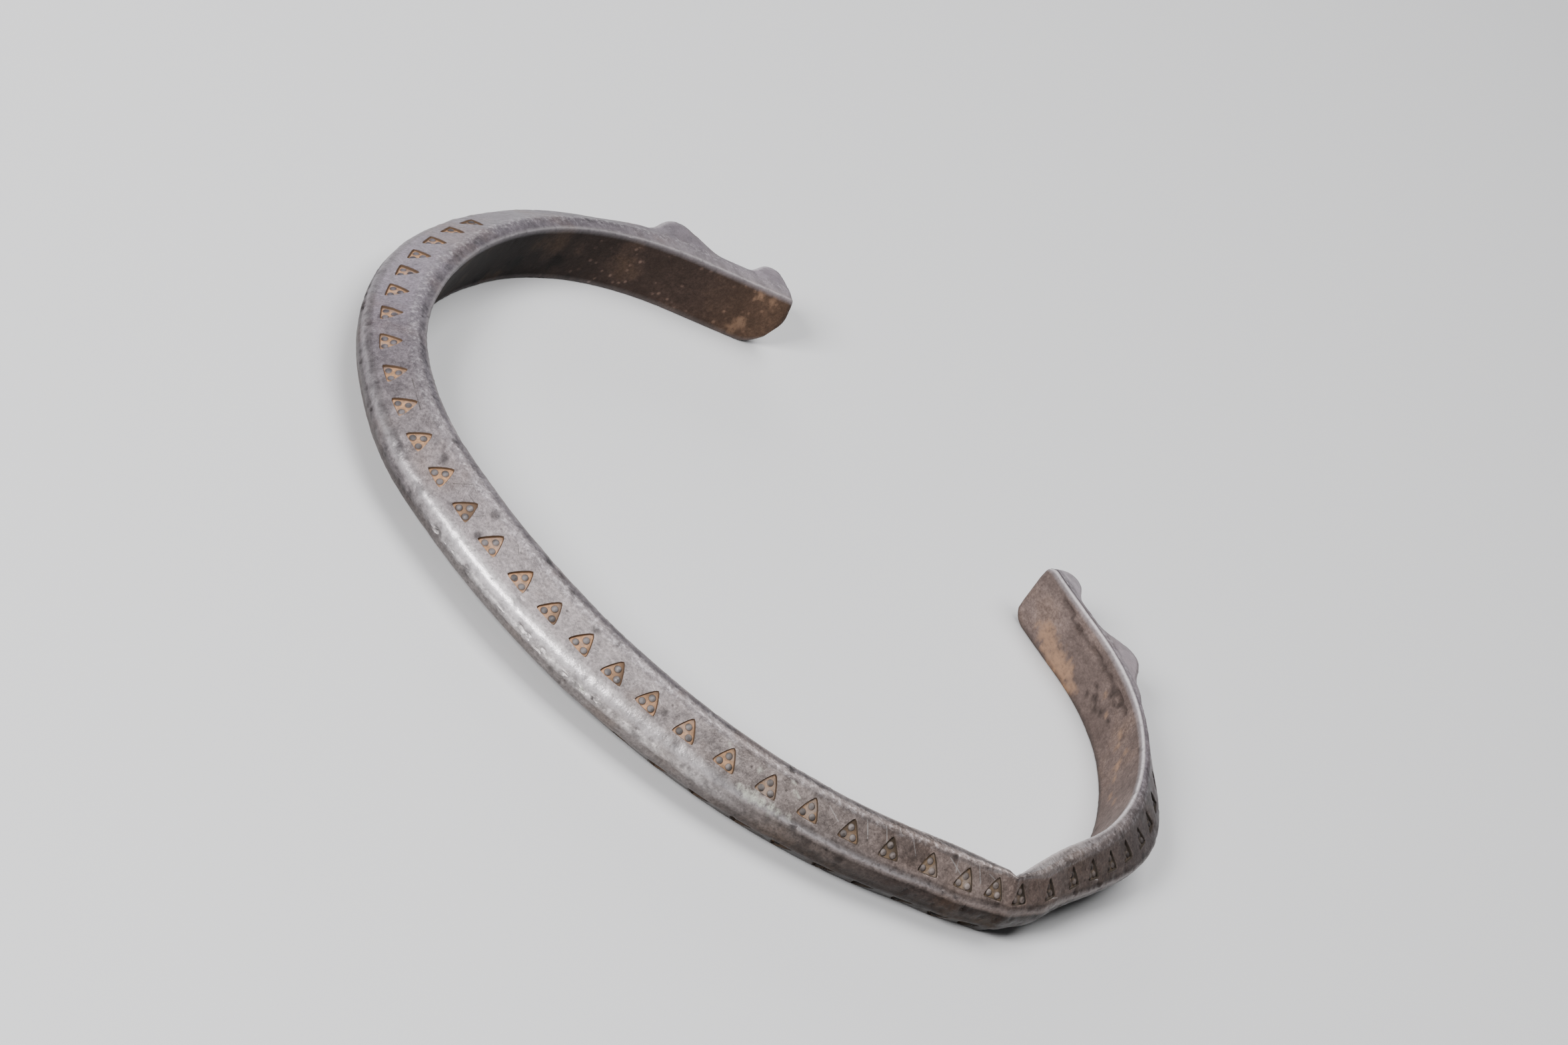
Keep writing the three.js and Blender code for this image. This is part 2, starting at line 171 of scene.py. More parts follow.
# Nick in the upper inner edge at the crease: where, how deep and how long. The strip gives way with it.
CREASE_NICK = (CREASE - 0.4, 0.3, 0.5)
NICK_IN_STRIP = 0.8

# How each part of the section changes along the bar: (place, mm), or a share for the bevel.
BELLY = (
    (LEFT_KNOB[0] - LEFT_KNOB[2], 2.5),
    (LEFT_NECK, 2.6),
    (place("left arm", 0.5), 3.9),
    (place("left shoulder"), 3.9),
    (place("left shoulder", 0.7), 4.35),
    (place("left bend", 0.5), 3.9),
    (place("front left"), 4.4),
    (place("front left", 0.5), 4.4),
    (place("front right", 0.3), 3.4),
    (place("front right", 0.7), 2.95),
    (place("before crease", 0.5), 2.8),
    (CREASE, 1.9),
    (place("after crease", 0.3), 2.75),
    (place("right bend"), 3.1),
    (place("right bend", 0.5), 3.8),
    (RIGHT_NECK, 1.7),
    (BAR_LENGTH - RIGHT_KNOB[0] + RIGHT_KNOB[2], 1.35),
)
UPPER_STRIP = (
    (place("left shoulder"), 1.25),
    (place("left bend", 0.5), 1.1),
    (place("front right"), 1.1),
    (place("front right", 0.7), 0.9),
    (place("before crease", 0.5), 0.9),
    (CREASE, 0.35),
    (place("after crease", 0.3), 1.0),
    (place("right arm"), 0.65),
)
LOWER_STRIP = (
    (place("left arm", 0.5), 1.0),
    (place("front left"), 1.5),
    (place("before crease", 0.5), 1.5),
    (CREASE, 0.9),
    (place("right arm"), 1.0),
)
RIDGE_CUT = (
    (place("left bend"), 0.5),
    (place("front left", 0.5), 0.62),
    (place("front right", 0.2), 0.55),
    (place("front right", 0.6), 0.3),
    (place("right bend"), 0.35),
    (place("right arm"), 0.5),
)
SET_BACK = (
    (place("left shoulder"), 0.0),
    (place("left bend", 0.5), 0.5),
    (place("front left", 0.5), 0.5),
    (place("front right"), 0.0),
    (CREASE, 0.0),
    (place("right bend"), 0.5),
    (place("right bend", 0.5), 0.5),
    (RIGHT_NECK, 0.0),
)
BEVEL = ((LEFT_NECK, 0.0), (LEFT_NECK + END_FADE, 1.0), (RIGHT_NECK - END_FADE, 1.0), (RIGHT_NECK, 0.0))
# Spacing of the triangles in mm, and how slim they are past the crease.
STAMP_PITCH = (
    (place("left bend"), 2.9),
    (place("left bend", 0.3), 3.22),
    (place("left bend", 0.7), 3.22),
    (place("front left"), 3.06),
    (place("front left", 0.5), 3.06),
    (place("front left", 0.7), 2.92),
    (place("front right"), 2.92),
    (place("front right", 0.3), 3.38),
    (place("before crease"), 3.38),
    (place("crease"), 2.45),
    (place("after crease", 0.3), 4.2),
    (place("after crease", 0.7), 2.72),
)
STAMP_SLIMNESS = ((CREASE + 1.0, 1.0), (CREASE + 3.0, 0.85))


def smooth_along(table, distance):
    """Value of a table of (place, value) with a smooth change between places."""
    if distance <= table[0][0]:
        return table[0][1]
    for (start, low), (end, high) in zip(table, table[1:]):
        if distance < end:
            share = (distance - start) / (end - start)
            return low + (high - low) * share * share * (3 - 2 * share)
    return table[-1][1]


def swelling(distance, shape):
    middle, rise, reach = shape
    share = min(1.0, abs(distance - middle) / reach)
    return rise * (0.5 + 0.5 * math.cos(math.pi * share))


def rounding(from_tip, radius):
    """How far a rounded corner has cut in at a distance from the tip."""
    if from_tip >= radius:
        return 0.0
    along = radius - from_tip
    return radius - math.sqrt(radius * radius - along * along * QUARTER_SHARE)


def plan_at(distance):
    x = y = 0.0
    heading = math.radians(START_HEADING)
    left = distance
    for length, turn in PLAN.values():
        step = min(left, length)
        swing = math.radians(turn) * step / length
        chord = step if abs(swing) < 1e-9 else step * math.sin(swing / 2) / (swing / 2)
        x += chord * math.cos(heading + swing / 2)
        y += chord * math.sin(heading + swing / 2)
        heading += swing
        left -= step
        if left <= 0:
            break
    return x, y, heading


def outward_at(distance):
    """Direction out of the bar, which turns more gently than the inner face does."""
    ax, ay, _ = plan_at(max(0.0, distance - BEND_SOFTENING))
    bx, by, _ = plan_at(min(BAR_LENGTH, distance + BEND_SOFTENING))
    heading = math.atan2(by - ay, bx - ax)
    return Vector((math.sin(heading), -math.cos(heading), 0.0))


def point_on_bar(distance, outward, height):
    x, y, _ = plan_at(distance)
    return Vector((x, y, height)) + outward_at(distance) * outward


def section_at(distance):
    """Corners of the section as (outward, up), by name."""
    from_right = BAR_LENGTH - distance
    from_tip = min(distance, from_right)
    above, below = LEFT_TIP_ROUND if distance < from_right else RIGHT_TIP_ROUND
    belly = smooth_along(BELLY, distance) + swelling(distance, LEFT_KNOB) + swelling(distance, LEFT_TIP)
    belly += swelling(from_right, RIGHT_KNOB) + swelling(from_right, RIGHT_TIP)
    bevel = smooth_along(BEVEL, distance)
    drop = END_DROP + (UPPER_DROP - END_DROP) * bevel
    rise = END_DROP + (LOWER_RISE - END_DROP) * bevel
    nick = swelling(distance, CREASE_NICK)
    upper_strip = min(smooth_along(UPPER_STRIP, distance), belly * MOST_STRIP)
    upper_strip += NICK_IN_STRIP * nick
    lower_strip = min(smooth_along(LOWER_STRIP, distance), belly * MOST_STRIP)
    belly -= rounding(from_tip, END_CORNER_ROUND)
    inner = rounding(from_tip, INNER_END_ROUND)
    top = BAND_HEIGHT - rounding(from_tip, above)
    bottom = rounding(from_tip, below)
    lower_belly = belly - smooth_along(SET_BACK, distance)
    return {
        "ridge": (belly, top - drop),
        "strip edge": (upper_strip, top),
        "inner edge": (inner + nick, top),
        "lower edge": (inner, bottom),
        "lower strip edge": (lower_strip, bottom),
        "lower ridge": (lower_belly, bottom + rise),
    }

# Corners of the section: name, kind of rounding, and rows on the side that follows.
CORNERS = (
    ("ridge", "ridge", UPPER_BEVEL_ROWS),
    ("strip edge", "strip edge", UPPER_STRIP_ROWS),
    ("inner edge", "inner edge", INNER_ROWS),
    ("lower edge", "lower edge", LOWER_STRIP_ROWS),
    ("lower strip edge", "strip edge", LOWER_BEVEL_ROWS),
    ("lower ridge", "ridge", BELLY_ROWS),
)


def corner_cut(name, distance, here, before, after):
    """How far a corner's rounding reaches along each side, at most a third of the side."""
    shortest = min((before - here).length, (after - here).length)
    cut = smooth_along(RIDGE_CUT, distance) if name == "ridge" else CORNER_CUTS[name]
    return min(cut, shortest / 3)


def outline_at(distance):
    """The section's outline with rounded corners, from the upper ridge over the top and round."""
    section = section_at(distance)
    spots = [Vector(section[name]) for name, cut, rows in CORNERS]
    count = len(spots)
    rounds = []
    for i, (name, cut, rows) in enumerate(CORNERS):
        here, before, after = spots[i], spots[i - 1], spots[(i + 1) % count]
        reach = corner_cut(cut, distance, here, before, after)
        start = here + (before - here).normalized() * reach
        end = here + (after - here).normalized() * reach
        curve = []
        for k in range(CORNER_STEPS + 1):
            t = k / CORNER_STEPS
            curve.append(start * (1 - t) ** 2 + here * 2 * t * (1 - t) + end * t * t)
        rounds.append(curve)
    points = []
    for i, (name, cut, rows) in enumerate(CORNERS):
        points += rounds[i]
        start, end = rounds[i][-1], rounds[(i + 1) % count][0]
        swell = BELLY_BULGE if name == "lower ridge" else 0.0
        for k in range(1, rows):
            share = k / rows
            points.append(start.lerp(end, share) + Vector((swell * 4 * share * (1 - share), 0)))
    return points


def row_names():
    """Which corner or side each row of the outline belongs to, with its share along a side."""
    sides = ("upper bevel", "upper strip", "inner face", "lower strip", "lower bevel", "belly")
    names = []
    for (name, cut, rows), side in zip(CORNERS, sides):
        names += [(name, k / CORNER_STEPS) for k in range(CORNER_STEPS + 1)]
        names += [(side, k / rows) for k in range(1, rows)]
    return names


ROWS = row_names()


def begin():
    """Deselects everything, in object mode."""
    if bpy.context.mode != "OBJECT":
        bpy.ops.object.mode_set(mode="OBJECT")
    bpy.ops.object.select_all(action="DESELECT")


def choose(*objects):
    begin()
    for piece in objects:
        piece.select_set(True)
    bpy.context.view_layer.objects.active = objects[0]


def cut_away(piece, tool):
    """Cuts the tool's shape out of a piece, and puts the tool away."""
    choose(piece)
    cut = piece.modifiers.new("Cut", "BOOLEAN")
    cut.object = tool
    cut.operation = "DIFFERENCE"
    cut.solver = "EXACT"
    bpy.ops.object.modifier_apply(modifier=cut.name)
    choose(tool)
    bpy.ops.object.delete()


def tree_of(points):
    """Search tree that finds points by their place in the list."""
    tree = kdtree.KDTree(len(points))
    for k, point in enumerate(points):
        tree.insert(point, k)
    tree.balance()
    return tree


def stretch_steps(name, length):
    spacing = STEP
    if name in ("before crease", "after crease"):
        spacing = NEAR_CREASE_STEP
    if name == "crease":
        spacing = CREASE_STEP
    return max(1, round(length / spacing / REFINE))


def wire_ring(distance):
    """Centre of the wire at a distance, and the directions across it and up."""
    x, y, heading = plan_at(distance)
    return Vector((x, y, BAND_HEIGHT / 2)), Vector((math.sin(heading), -math.cos(heading), 0))


def bend_wire():
    """A round wire bent along the plan, each stretch spun about its own centre."""
    begin()
    bpy.ops.mesh.primitive_circle_add(vertices=len(ROWS), radius=WIRE_RADIUS, fill_type="NOTHING")
    wire = bpy.context.object
    wire.name = "silver_bracelet"
    centre, across = wire_ring(0)
    for k, vertex in enumerate(wire.data.vertices):
        angle = 2 * math.pi * k / len(ROWS)
        vertex.co = centre + (across * math.cos(angle) + UP * math.sin(angle)) * WIRE_RADIUS
    distances = [0.0]
    bpy.ops.object.mode_set(mode="EDIT")
    bpy.ops.mesh.select_all(action="SELECT")
    for name, (length, turn) in PLAN.items():
        start = distances[-1]
        x, y, heading = plan_at(start)
        swing = math.radians(turn)
        radius = length / swing
        centre = (x - radius * math.sin(heading), y + radius * math.cos(heading), 0)
        steps = stretch_steps(name, length)
        bpy.ops.mesh.spin(steps=steps, angle=-swing, center=centre, axis=(0, 0, 1))
        distances += [start + length * k / steps for k in range(1, steps + 1)]
    bpy.ops.object.mode_set(mode="OBJECT")
    return wire, distances


def refine_wire(wire, distances):
    """Divides the wire lengthwise, and gives the distance of every ring and where its centre is."""
    count = len(ROWS)
    for edge in wire.data.edges:
        edge.select = edge.vertices[0] // count != edge.vertices[1] // count
    choose(wire)
    bpy.ops.object.mode_set(mode="EDIT")
    bpy.ops.mesh.select_mode(type="EDGE")
    bpy.ops.mesh.subdivide(number_cuts=REFINE - 1)
    bpy.ops.object.mode_set(mode="OBJECT")
    fine, centres = [], []
    for start, end in zip(distances, distances[1:]):
        for k in range(REFINE):
            fine.append(start + (end - start) * k / REFINE)
            centres.append(wire_ring(start)[0].lerp(wire_ring(end)[0], k / REFINE))
    fine.append(distances[-1])
    centres.append(wire_ring(distances[-1])[0])
    return fine, centres


def end_bulge(distance, height):
    """How far the flat end of the bar is pushed along it at a height, for both ends."""
    from_right = BAR_LENGTH - distance
    share = height / BAND_HEIGHT
    if distance < END_BULGE_REACH:
        return -smooth_along(LEFT_END_BULGE, share) * (1 - distance / END_BULGE_REACH)
    if from_right < END_BULGE_REACH:
        return smooth_along(RIGHT_END_BULGE, share) * (1 - from_right / END_BULGE_REACH)
    return 0.0


def find_spots(wire, distances, centres):
    """Which ring and which row of the outline each vertex of the wire belongs to."""
    count = len(ROWS)
    rings = tree_of(centres)
    crossings = [wire_ring(distance)[1] for distance in distances]
    spots = []
    for vertex in wire.data.vertices:
        ring = rings.find(Vector((vertex.co.x, vertex.co.y, BAND_HEIGHT / 2)))[1]
        lift = vertex.co.z - BAND_HEIGHT / 2
        out = (vertex.co - centres[ring]).dot(crossings[ring])
        row = round(math.atan2(lift, out) / (2 * math.pi) * count) % count
        spots.append((ring, row))
    return spots


def forge_bar(wire, spots, distances):
    """Works the wire to the section that it has at each place."""
    outlines = [outline_at(distance) for distance in distances]
    starts = [point_on_bar(distance, 0, 0) for distance in distances]
    outwards = [outward_at(distance) for distance in distances]
    for vertex, (ring, row) in zip(wire.data.vertices, spots):
        reach, height = outlines[ring][row]
        outward = outwards[ring]
        along = Vector((-outward.y, outward.x, 0)) * end_bulge(distances[ring], height)
        vertex.co = starts[ring] + outward * reach + UP * height + along


def close_ends(bar):
    """Closes both ends of the bar and points all its faces outwards."""
    choose(bar)
    bpy.ops.object.mode_set(mode="EDIT")
    bpy.ops.mesh.select_all(action="DESELECT")
    bpy.ops.mesh.select_mode(type="VERT")
    bpy.ops.mesh.select_non_manifold(extend=False, use_wire=False, use_multi_face=False)
    bpy.ops.mesh.fill_holes(sides=0)
    bpy.ops.mesh.select_all(action="SELECT")
    bpy.ops.mesh.normals_make_consistent(inside=False)
    bpy.ops.object.mode_set(mode="OBJECT")


def stamp_places():
    """Distances along the bar of the stamps, their pitch measured where the punch met the bevel."""
    places = []
    last = BAR_LENGTH - LAST_STAMP_FROM_RIGHT
    since, before = 1.0, None
    distance = FIRST_STAMP
    while distance <= last:
        section = section_at(distance)
        middle = (section["ridge"][0] + section["strip edge"][0]) / 2
        here = point_on_bar(distance, middle, 0)
        if before:
            since += (here - before).length / smooth_along(STAMP_PITCH, distance)
        before = here
        if since >= 1:
            places.append(distance)
            since -= 1
        distance += STAMP_SEARCH_STEP
    return places


def stamp_frame(distance, upper):
    """Where the punch stands at a place: its matrix, and the width of the bevel there."""
    section = section_at(distance)
    ridge_name, edge_name = ("ridge", "strip edge") if upper else ("lower ridge", "lower strip edge")
    ridge = point_on_bar(distance, *section[ridge_name])
    edge = point_on_bar(distance, *section[edge_name])
    inward = edge - ridge
    width = inward.length
    inward.normalize()
    outward = outward_at(distance)
    along = Vector((-outward.y, outward.x, 0))
    face = along.cross(inward).normalized()
    if not upper:
        along, face = -along, -face
    matrix = Matrix((along, inward, face)).transposed().to_4x4()
    matrix.translation = ridge
    return matrix, width


def arch_outline(shrink):
    """Outline of the punch, a triangle with arched sides, drawn in by an amount all round."""
    half = STAMP_WIDTH / 2
    corners = [Vector((-half, 0)), Vector((half, 0)), Vector((0, STAMP_HEIGHT))]
    middle = Vector((0, STAMP_HEIGHT * STAMP_MIDDLE))
    points = []
    for i, start in enumerate(corners):
        end = corners[(i + 1) % 3]
        normal = Vector((end.y - start.y, start.x - end.x)).normalized()
        swell = STAMP_BULGE if i else STAMP_BULGE * BASE_BULGE_SHARE
        for k in range(STAMP_SIDE_POINTS):
            share = k / STAMP_SIDE_POINTS
            point = start.lerp(end, share) + normal * (swell * 4 * share * (1 - share))
            if k == 0:
                point = point + (middle - point).normalized() * CORNER_BLUNT
            points.append(point + (middle - point).normalized() * shrink)
    return points


def hollow_punch(punch, x, y):
    """Sinks a round hollow in the punch's face, which leaves a pellet standing in the silver."""
    begin()
    depth = STAMP_DEPTH + PELLET_RADIUS - PELLET_RISE
    bpy.ops.mesh.primitive_uv_sphere_add(
        segments=PELLET_SEGMENTS,
        ring_count=PELLET_RINGS,
        radius=PELLET_RADIUS,
        location=(x * STAMP_WIDTH, y * STAMP_HEIGHT, -depth),
    )
    cut_away(punch, bpy.context.object)


def cut_punch():
    """The punch: an arched triangle with slanted flanks and three round hollows in its face."""
    begin()
    floor, mouth = arch_outline(STAMP_SLANT), arch_outline(0.0)
    bpy.ops.mesh.primitive_circle_add(vertices=len(floor), radius=1, fill_type="NGON")
    punch = bpy.context.object
    punch.name = "punch"
    for vertex, point in zip(punch.data.vertices, floor):
        vertex.co = (point.x, point.y, -STAMP_DEPTH)
    bpy.ops.object.mode_set(mode="EDIT")
    bpy.ops.mesh.select_all(action="SELECT")
    for lift in (STAMP_DEPTH, PUNCH_STANDS_OUT):
        bpy.ops.mesh.extrude_region_move(TRANSFORM_OT_translate={"value": (0, 0, lift)})
    bpy.ops.mesh.select_all(action="SELECT")
    bpy.ops.mesh.normals_make_consistent(inside=False)
    bpy.ops.object.mode_set(mode="OBJECT")
    for vertex in punch.data.vertices:
        if vertex.co.z > -STAMP_DEPTH / 2:
            nearest = min(range(len(floor)), key=lambda k: (floor[k] - vertex.co.xy).length)
            vertex.co.xy = mouth[nearest]
    for x, y in PELLET_PLACES:
        hollow_punch(punch, x, y)
    return punch


def astray(chance, most):
    return math.radians(chance.uniform(-most, most))


def strike(punch, distance, upper, chance):
    """A copy of the punch set down at one place, a little askew as struck by hand."""
    stand, width = stamp_frame(distance, upper)
    to_ridge = max(STAMP_CLEAR_OF_RIDGE, (width - STAMP_HEIGHT) * STAMP_NEARER_RIDGE)
    height = min(STAMP_HEIGHT, width - to_ridge)
    slim = smooth_along(STAMP_SLIMNESS, distance)
    choose(punch)
    bpy.ops.object.duplicate()
    copy = bpy.context.object
    turn = Matrix.Rotation(astray(chance, STRIKE_TURN), 4, "Z")
    rock = Matrix.Rotation(astray(chance, STRIKE_ROCK), 4, "X")
    lean = Matrix.Rotation(astray(chance, STRIKE_LEAN), 4, "Y")
    slip = chance.uniform(-STRIKE_SLIP, STRIKE_SLIP)
    sink = chance.uniform(-STRIKE_SINK, STRIKE_SINK)
    move = Matrix.Translation((slip, to_ridge, sink))
    size = Matrix.Diagonal((slim, height / STAMP_HEIGHT, 1.0, 1.0))
    copy.matrix_world = stand @ move @ turn @ rock @ lean @ size
    return copy


def stamp_bar(bar):
    """Strikes both rows of triangles into the bar, and gives where their pellets are."""
    punch = cut_punch()
    chance = random.Random(STRIKE_SEED)
    faces = [Vector((x * STAMP_WIDTH, y * STAMP_HEIGHT, -STAMP_DEPTH)) for x, y in PELLET_PLACES]
    copies, pellets = [], []
    for distance in stamp_places():
        for upper in (True, False):
            copy = strike(punch, distance, upper, chance)
            copies.append(copy)
            pellets += [copy.matrix_world @ face for face in faces]
    choose(punch)
    bpy.ops.object.delete()
    choose(*copies)
    bpy.ops.object.join()
    punches = bpy.context.object
    bpy.ops.object.transform_apply(location=True, rotation=True, scale=True)
    cut_away(bar, punches)
    return pellets


# How far the wear and painted highlight of the ridge, of the strip's line and of the inner edge, and the
# painted shade of the underside reach, as shares of the sides that they lie on.
RIDGE_FADE = 0.6
RIDGE_SPREAD = 0.17
LINE_ON_BEVEL = 0.12
LINE_ON_STRIP = 0.4
EDGE_MIDDLE = 0.4
EDGE_FADE = 0.7
UNDER_BELLY = 0.6

# How much each side takes of the colours of the belly, the strip, the underside and the inside. They are
# tarnish with painted light and shade, and the underside's colour is painted shade.
BELLY_TONE = {"belly": 1.0, "ridge": 0.5, "lower ridge": 1.0}
STRIP_TONE = {"upper strip": 1.0, "strip edge": 0.5, "inner edge": 0.5}
UNDER_SHADE = {
    "lower bevel": 1.0, "lower strip edge": 1.0, "lower strip": 1.0, "lower edge": 1.0, "lower ridge": 0.7,
}
INSIDE_TONE = {"inner face": 1.0, "inner edge": 0.4, "lower edge": 0.4}

# Unevenness: ripples as (height, fineness), and how deep the dents are in the ridge, the line of the
# strip and the inner edge. The ridge stands proud by a limited share of a dent.
HAMMER_SWELL = ((0.05, 0.3), (0.022, 0.9))
DENTS = ((1.0, 1.7), (0.6, 3.1))
RIDGE_DENT = 0.06
RIDGE_PROUD = -0.4
LINE_DENT = 0.03
EDGE_DENT = 0.035
RIDGE_RIPPLE = 0.035
RIDGE_FINENESS = 2.9
LUMP_RISE = 0.045
LUMPS = ((1.0, 1.9), (0.5, 3.3))
INSIDE_RIPPLE = 0.02
INSIDE_FINENESS = 1.1
OUTLINE_RIPPLES = ((0.55, 2.3), (0.35, 4.7))

# Pits scattered over the outside: how many, from where to how far from the right end, radius and depth.
PIT_SEED = 11
PIT_COUNT = 340
PITS_FROM = 40
PITS_SHORT_OF_RIGHT = 24
PIT_SIDES = ("belly", "belly", "belly", "ridge", "lower bevel", "upper bevel")
PIT_RADIUS = (0.22, 0.42)
PIT_DEPTH = (0.04, 0.11)
BEVEL_PIT_DEPTH = (0.01, 0.03)

# Groove inside the right arm: (place, share across the inner face).
GROOVE = ((140.6, 0.21), (146.0, 0.21), (151.3, 0.14))
GROOVE_STEPS = 70
GROOVE_RADIUS = 0.3
GROOVE_DEPTH = 0.12

# Dirt that lies in every chip, pit and groove: its share of their radius, and how strong by their depth.
HOLLOW_DIRT_REACH = 0.8
HOLLOW_DIRT_MOST = 0.8
HOLLOW_DIRT_BY_DEPTH = 6

# Chips: place, side, share across it, radius and depth.
CHIPS = (
    (60.2, "ridge", 0.3, 0.75, 0.2),
    (57.2, "ridge", 0.6, 0.6, 0.16),
    (63.3, "belly", 0.4, 0.55, 0.14),
    (66.3, "belly", 0.2, 0.6, 0.16),
    (69.9, "ridge", 0.9, 0.6, 0.16),
    (71.1, "ridge", 0.1, 0.4, 0.14),
    (71.7, "belly", 0.8, 0.35, 0.12),
    (73.1, "belly", 0.7, 0.4, 0.12),
    (75.8, "belly", 0.7, 0.45, 0.13),
    (77.3, "belly", 0.7, 0.4, 0.13),
    (90.2, "upper strip", 0.3, 0.35, 0.12),
    (52.6, "ridge", 0.5, 0.5, 0.12),
    (83.0, "ridge", 0.6, 0.5, 0.12),
    (93.4, "belly", 0.6, 0.5, 0.12),
    (135.5, "inner edge", 0.6, 0.3, 0.12),
    (129.7, "inner edge", 0.6, 0.3, 0.12),
)

# Marks by side: (place, share across the side, radius, strength).
DARK_MARKS = {
    "upper bevel": (
        (59.4, 0.7, 0.5, 1.0), (64.4, 0.93, 0.45, 1.0), (65.0, 0.3, 0.4, 1.0), (74.4, 0.93, 0.4, 1.0),
    ),
    "strip edge": ((58.4, 0.9, 0.35, 1.0), (71.6, 0.6, 0.35, 1.0), (76.1, 0.3, 0.35, 1.0)),
    "upper strip": ((68.9, 0.5, 0.4, 1.0), (90.2, 0.3, 0.35, 1.0)),
    "inner face": (
        (20.9, 0.64, 0.9, 1.0), (25.5, 0.64, 0.9, 1.0), (29.3, 0.86, 1.1, 1.0), (143.7, 0.66, 0.5, 1.0),
        (143.0, 0.74, 0.4, 1.0), (142.4, 0.64, 0.35, 1.0), (144.6, 0.7, 0.3, 1.0), (142.9, 0.3, 0.55, 1.0),
        (142.1, 0.38, 0.4, 1.0), (141.6, 0.27, 0.35, 1.0), (144.4, 0.5, 0.25, 1.0), (141.3, 0.55, 0.3, 1.0),
    ),
}
WARM_MARKS = {
    "inner face": (
        (150.6, 0.75, 1.0, 0.9), (149.6, 0.8, 1.0, 0.9), (148.4, 0.85, 1.1, 1.0), (147.2, 0.9, 1.0, 1.0),
        (146.0, 0.93, 0.8, 0.8), (139.1, 0.43, 0.4, 0.8), (138.3, 0.5, 0.35, 0.7), (136.9, 0.36, 0.35, 0.8),
        (136.3, 0.57, 0.45, 0.9), (135.2, 0.62, 0.4, 0.8), (133.4, 0.7, 0.4, 0.7), (131.8, 0.6, 0.4, 0.7),
        (141.8, 0.6, 0.3, 0.6), (143.2, 0.45, 0.3, 0.6), (2.6, 0.1, 0.45, 0.9), (1.6, 0.12, 0.4, 0.7),
        (2.6, 0.7, 0.7, 0.6), (2.8, 0.9, 0.5, 0.6),
    ),
}
PALE_MARKS = {
    "ridge": (
        (87.6, 0.9, 0.3, 0.7), (88.2, 0.7, 0.42, 0.9), (88.8, 0.9, 0.45, 1.0), (89.4, 0.8, 0.4, 1.0),
        (90.0, 0.9, 0.38, 0.9), (90.6, 0.7, 0.3, 0.8), (91.4, 0.8, 0.26, 0.6),
    ),
    "upper bevel": (
        (88.3, 0.71, 0.22, 0.9), (91.1, 0.71, 0.24, 0.9), (90.7, 0.93, 0.2, 0.7),
        (91.5, 0.62, 0.16, 0.8), (85.7, 0.86, 0.16, 0.7),
    ),
    "belly": ((76.4, 0.6, 0.2, 0.6),),
}
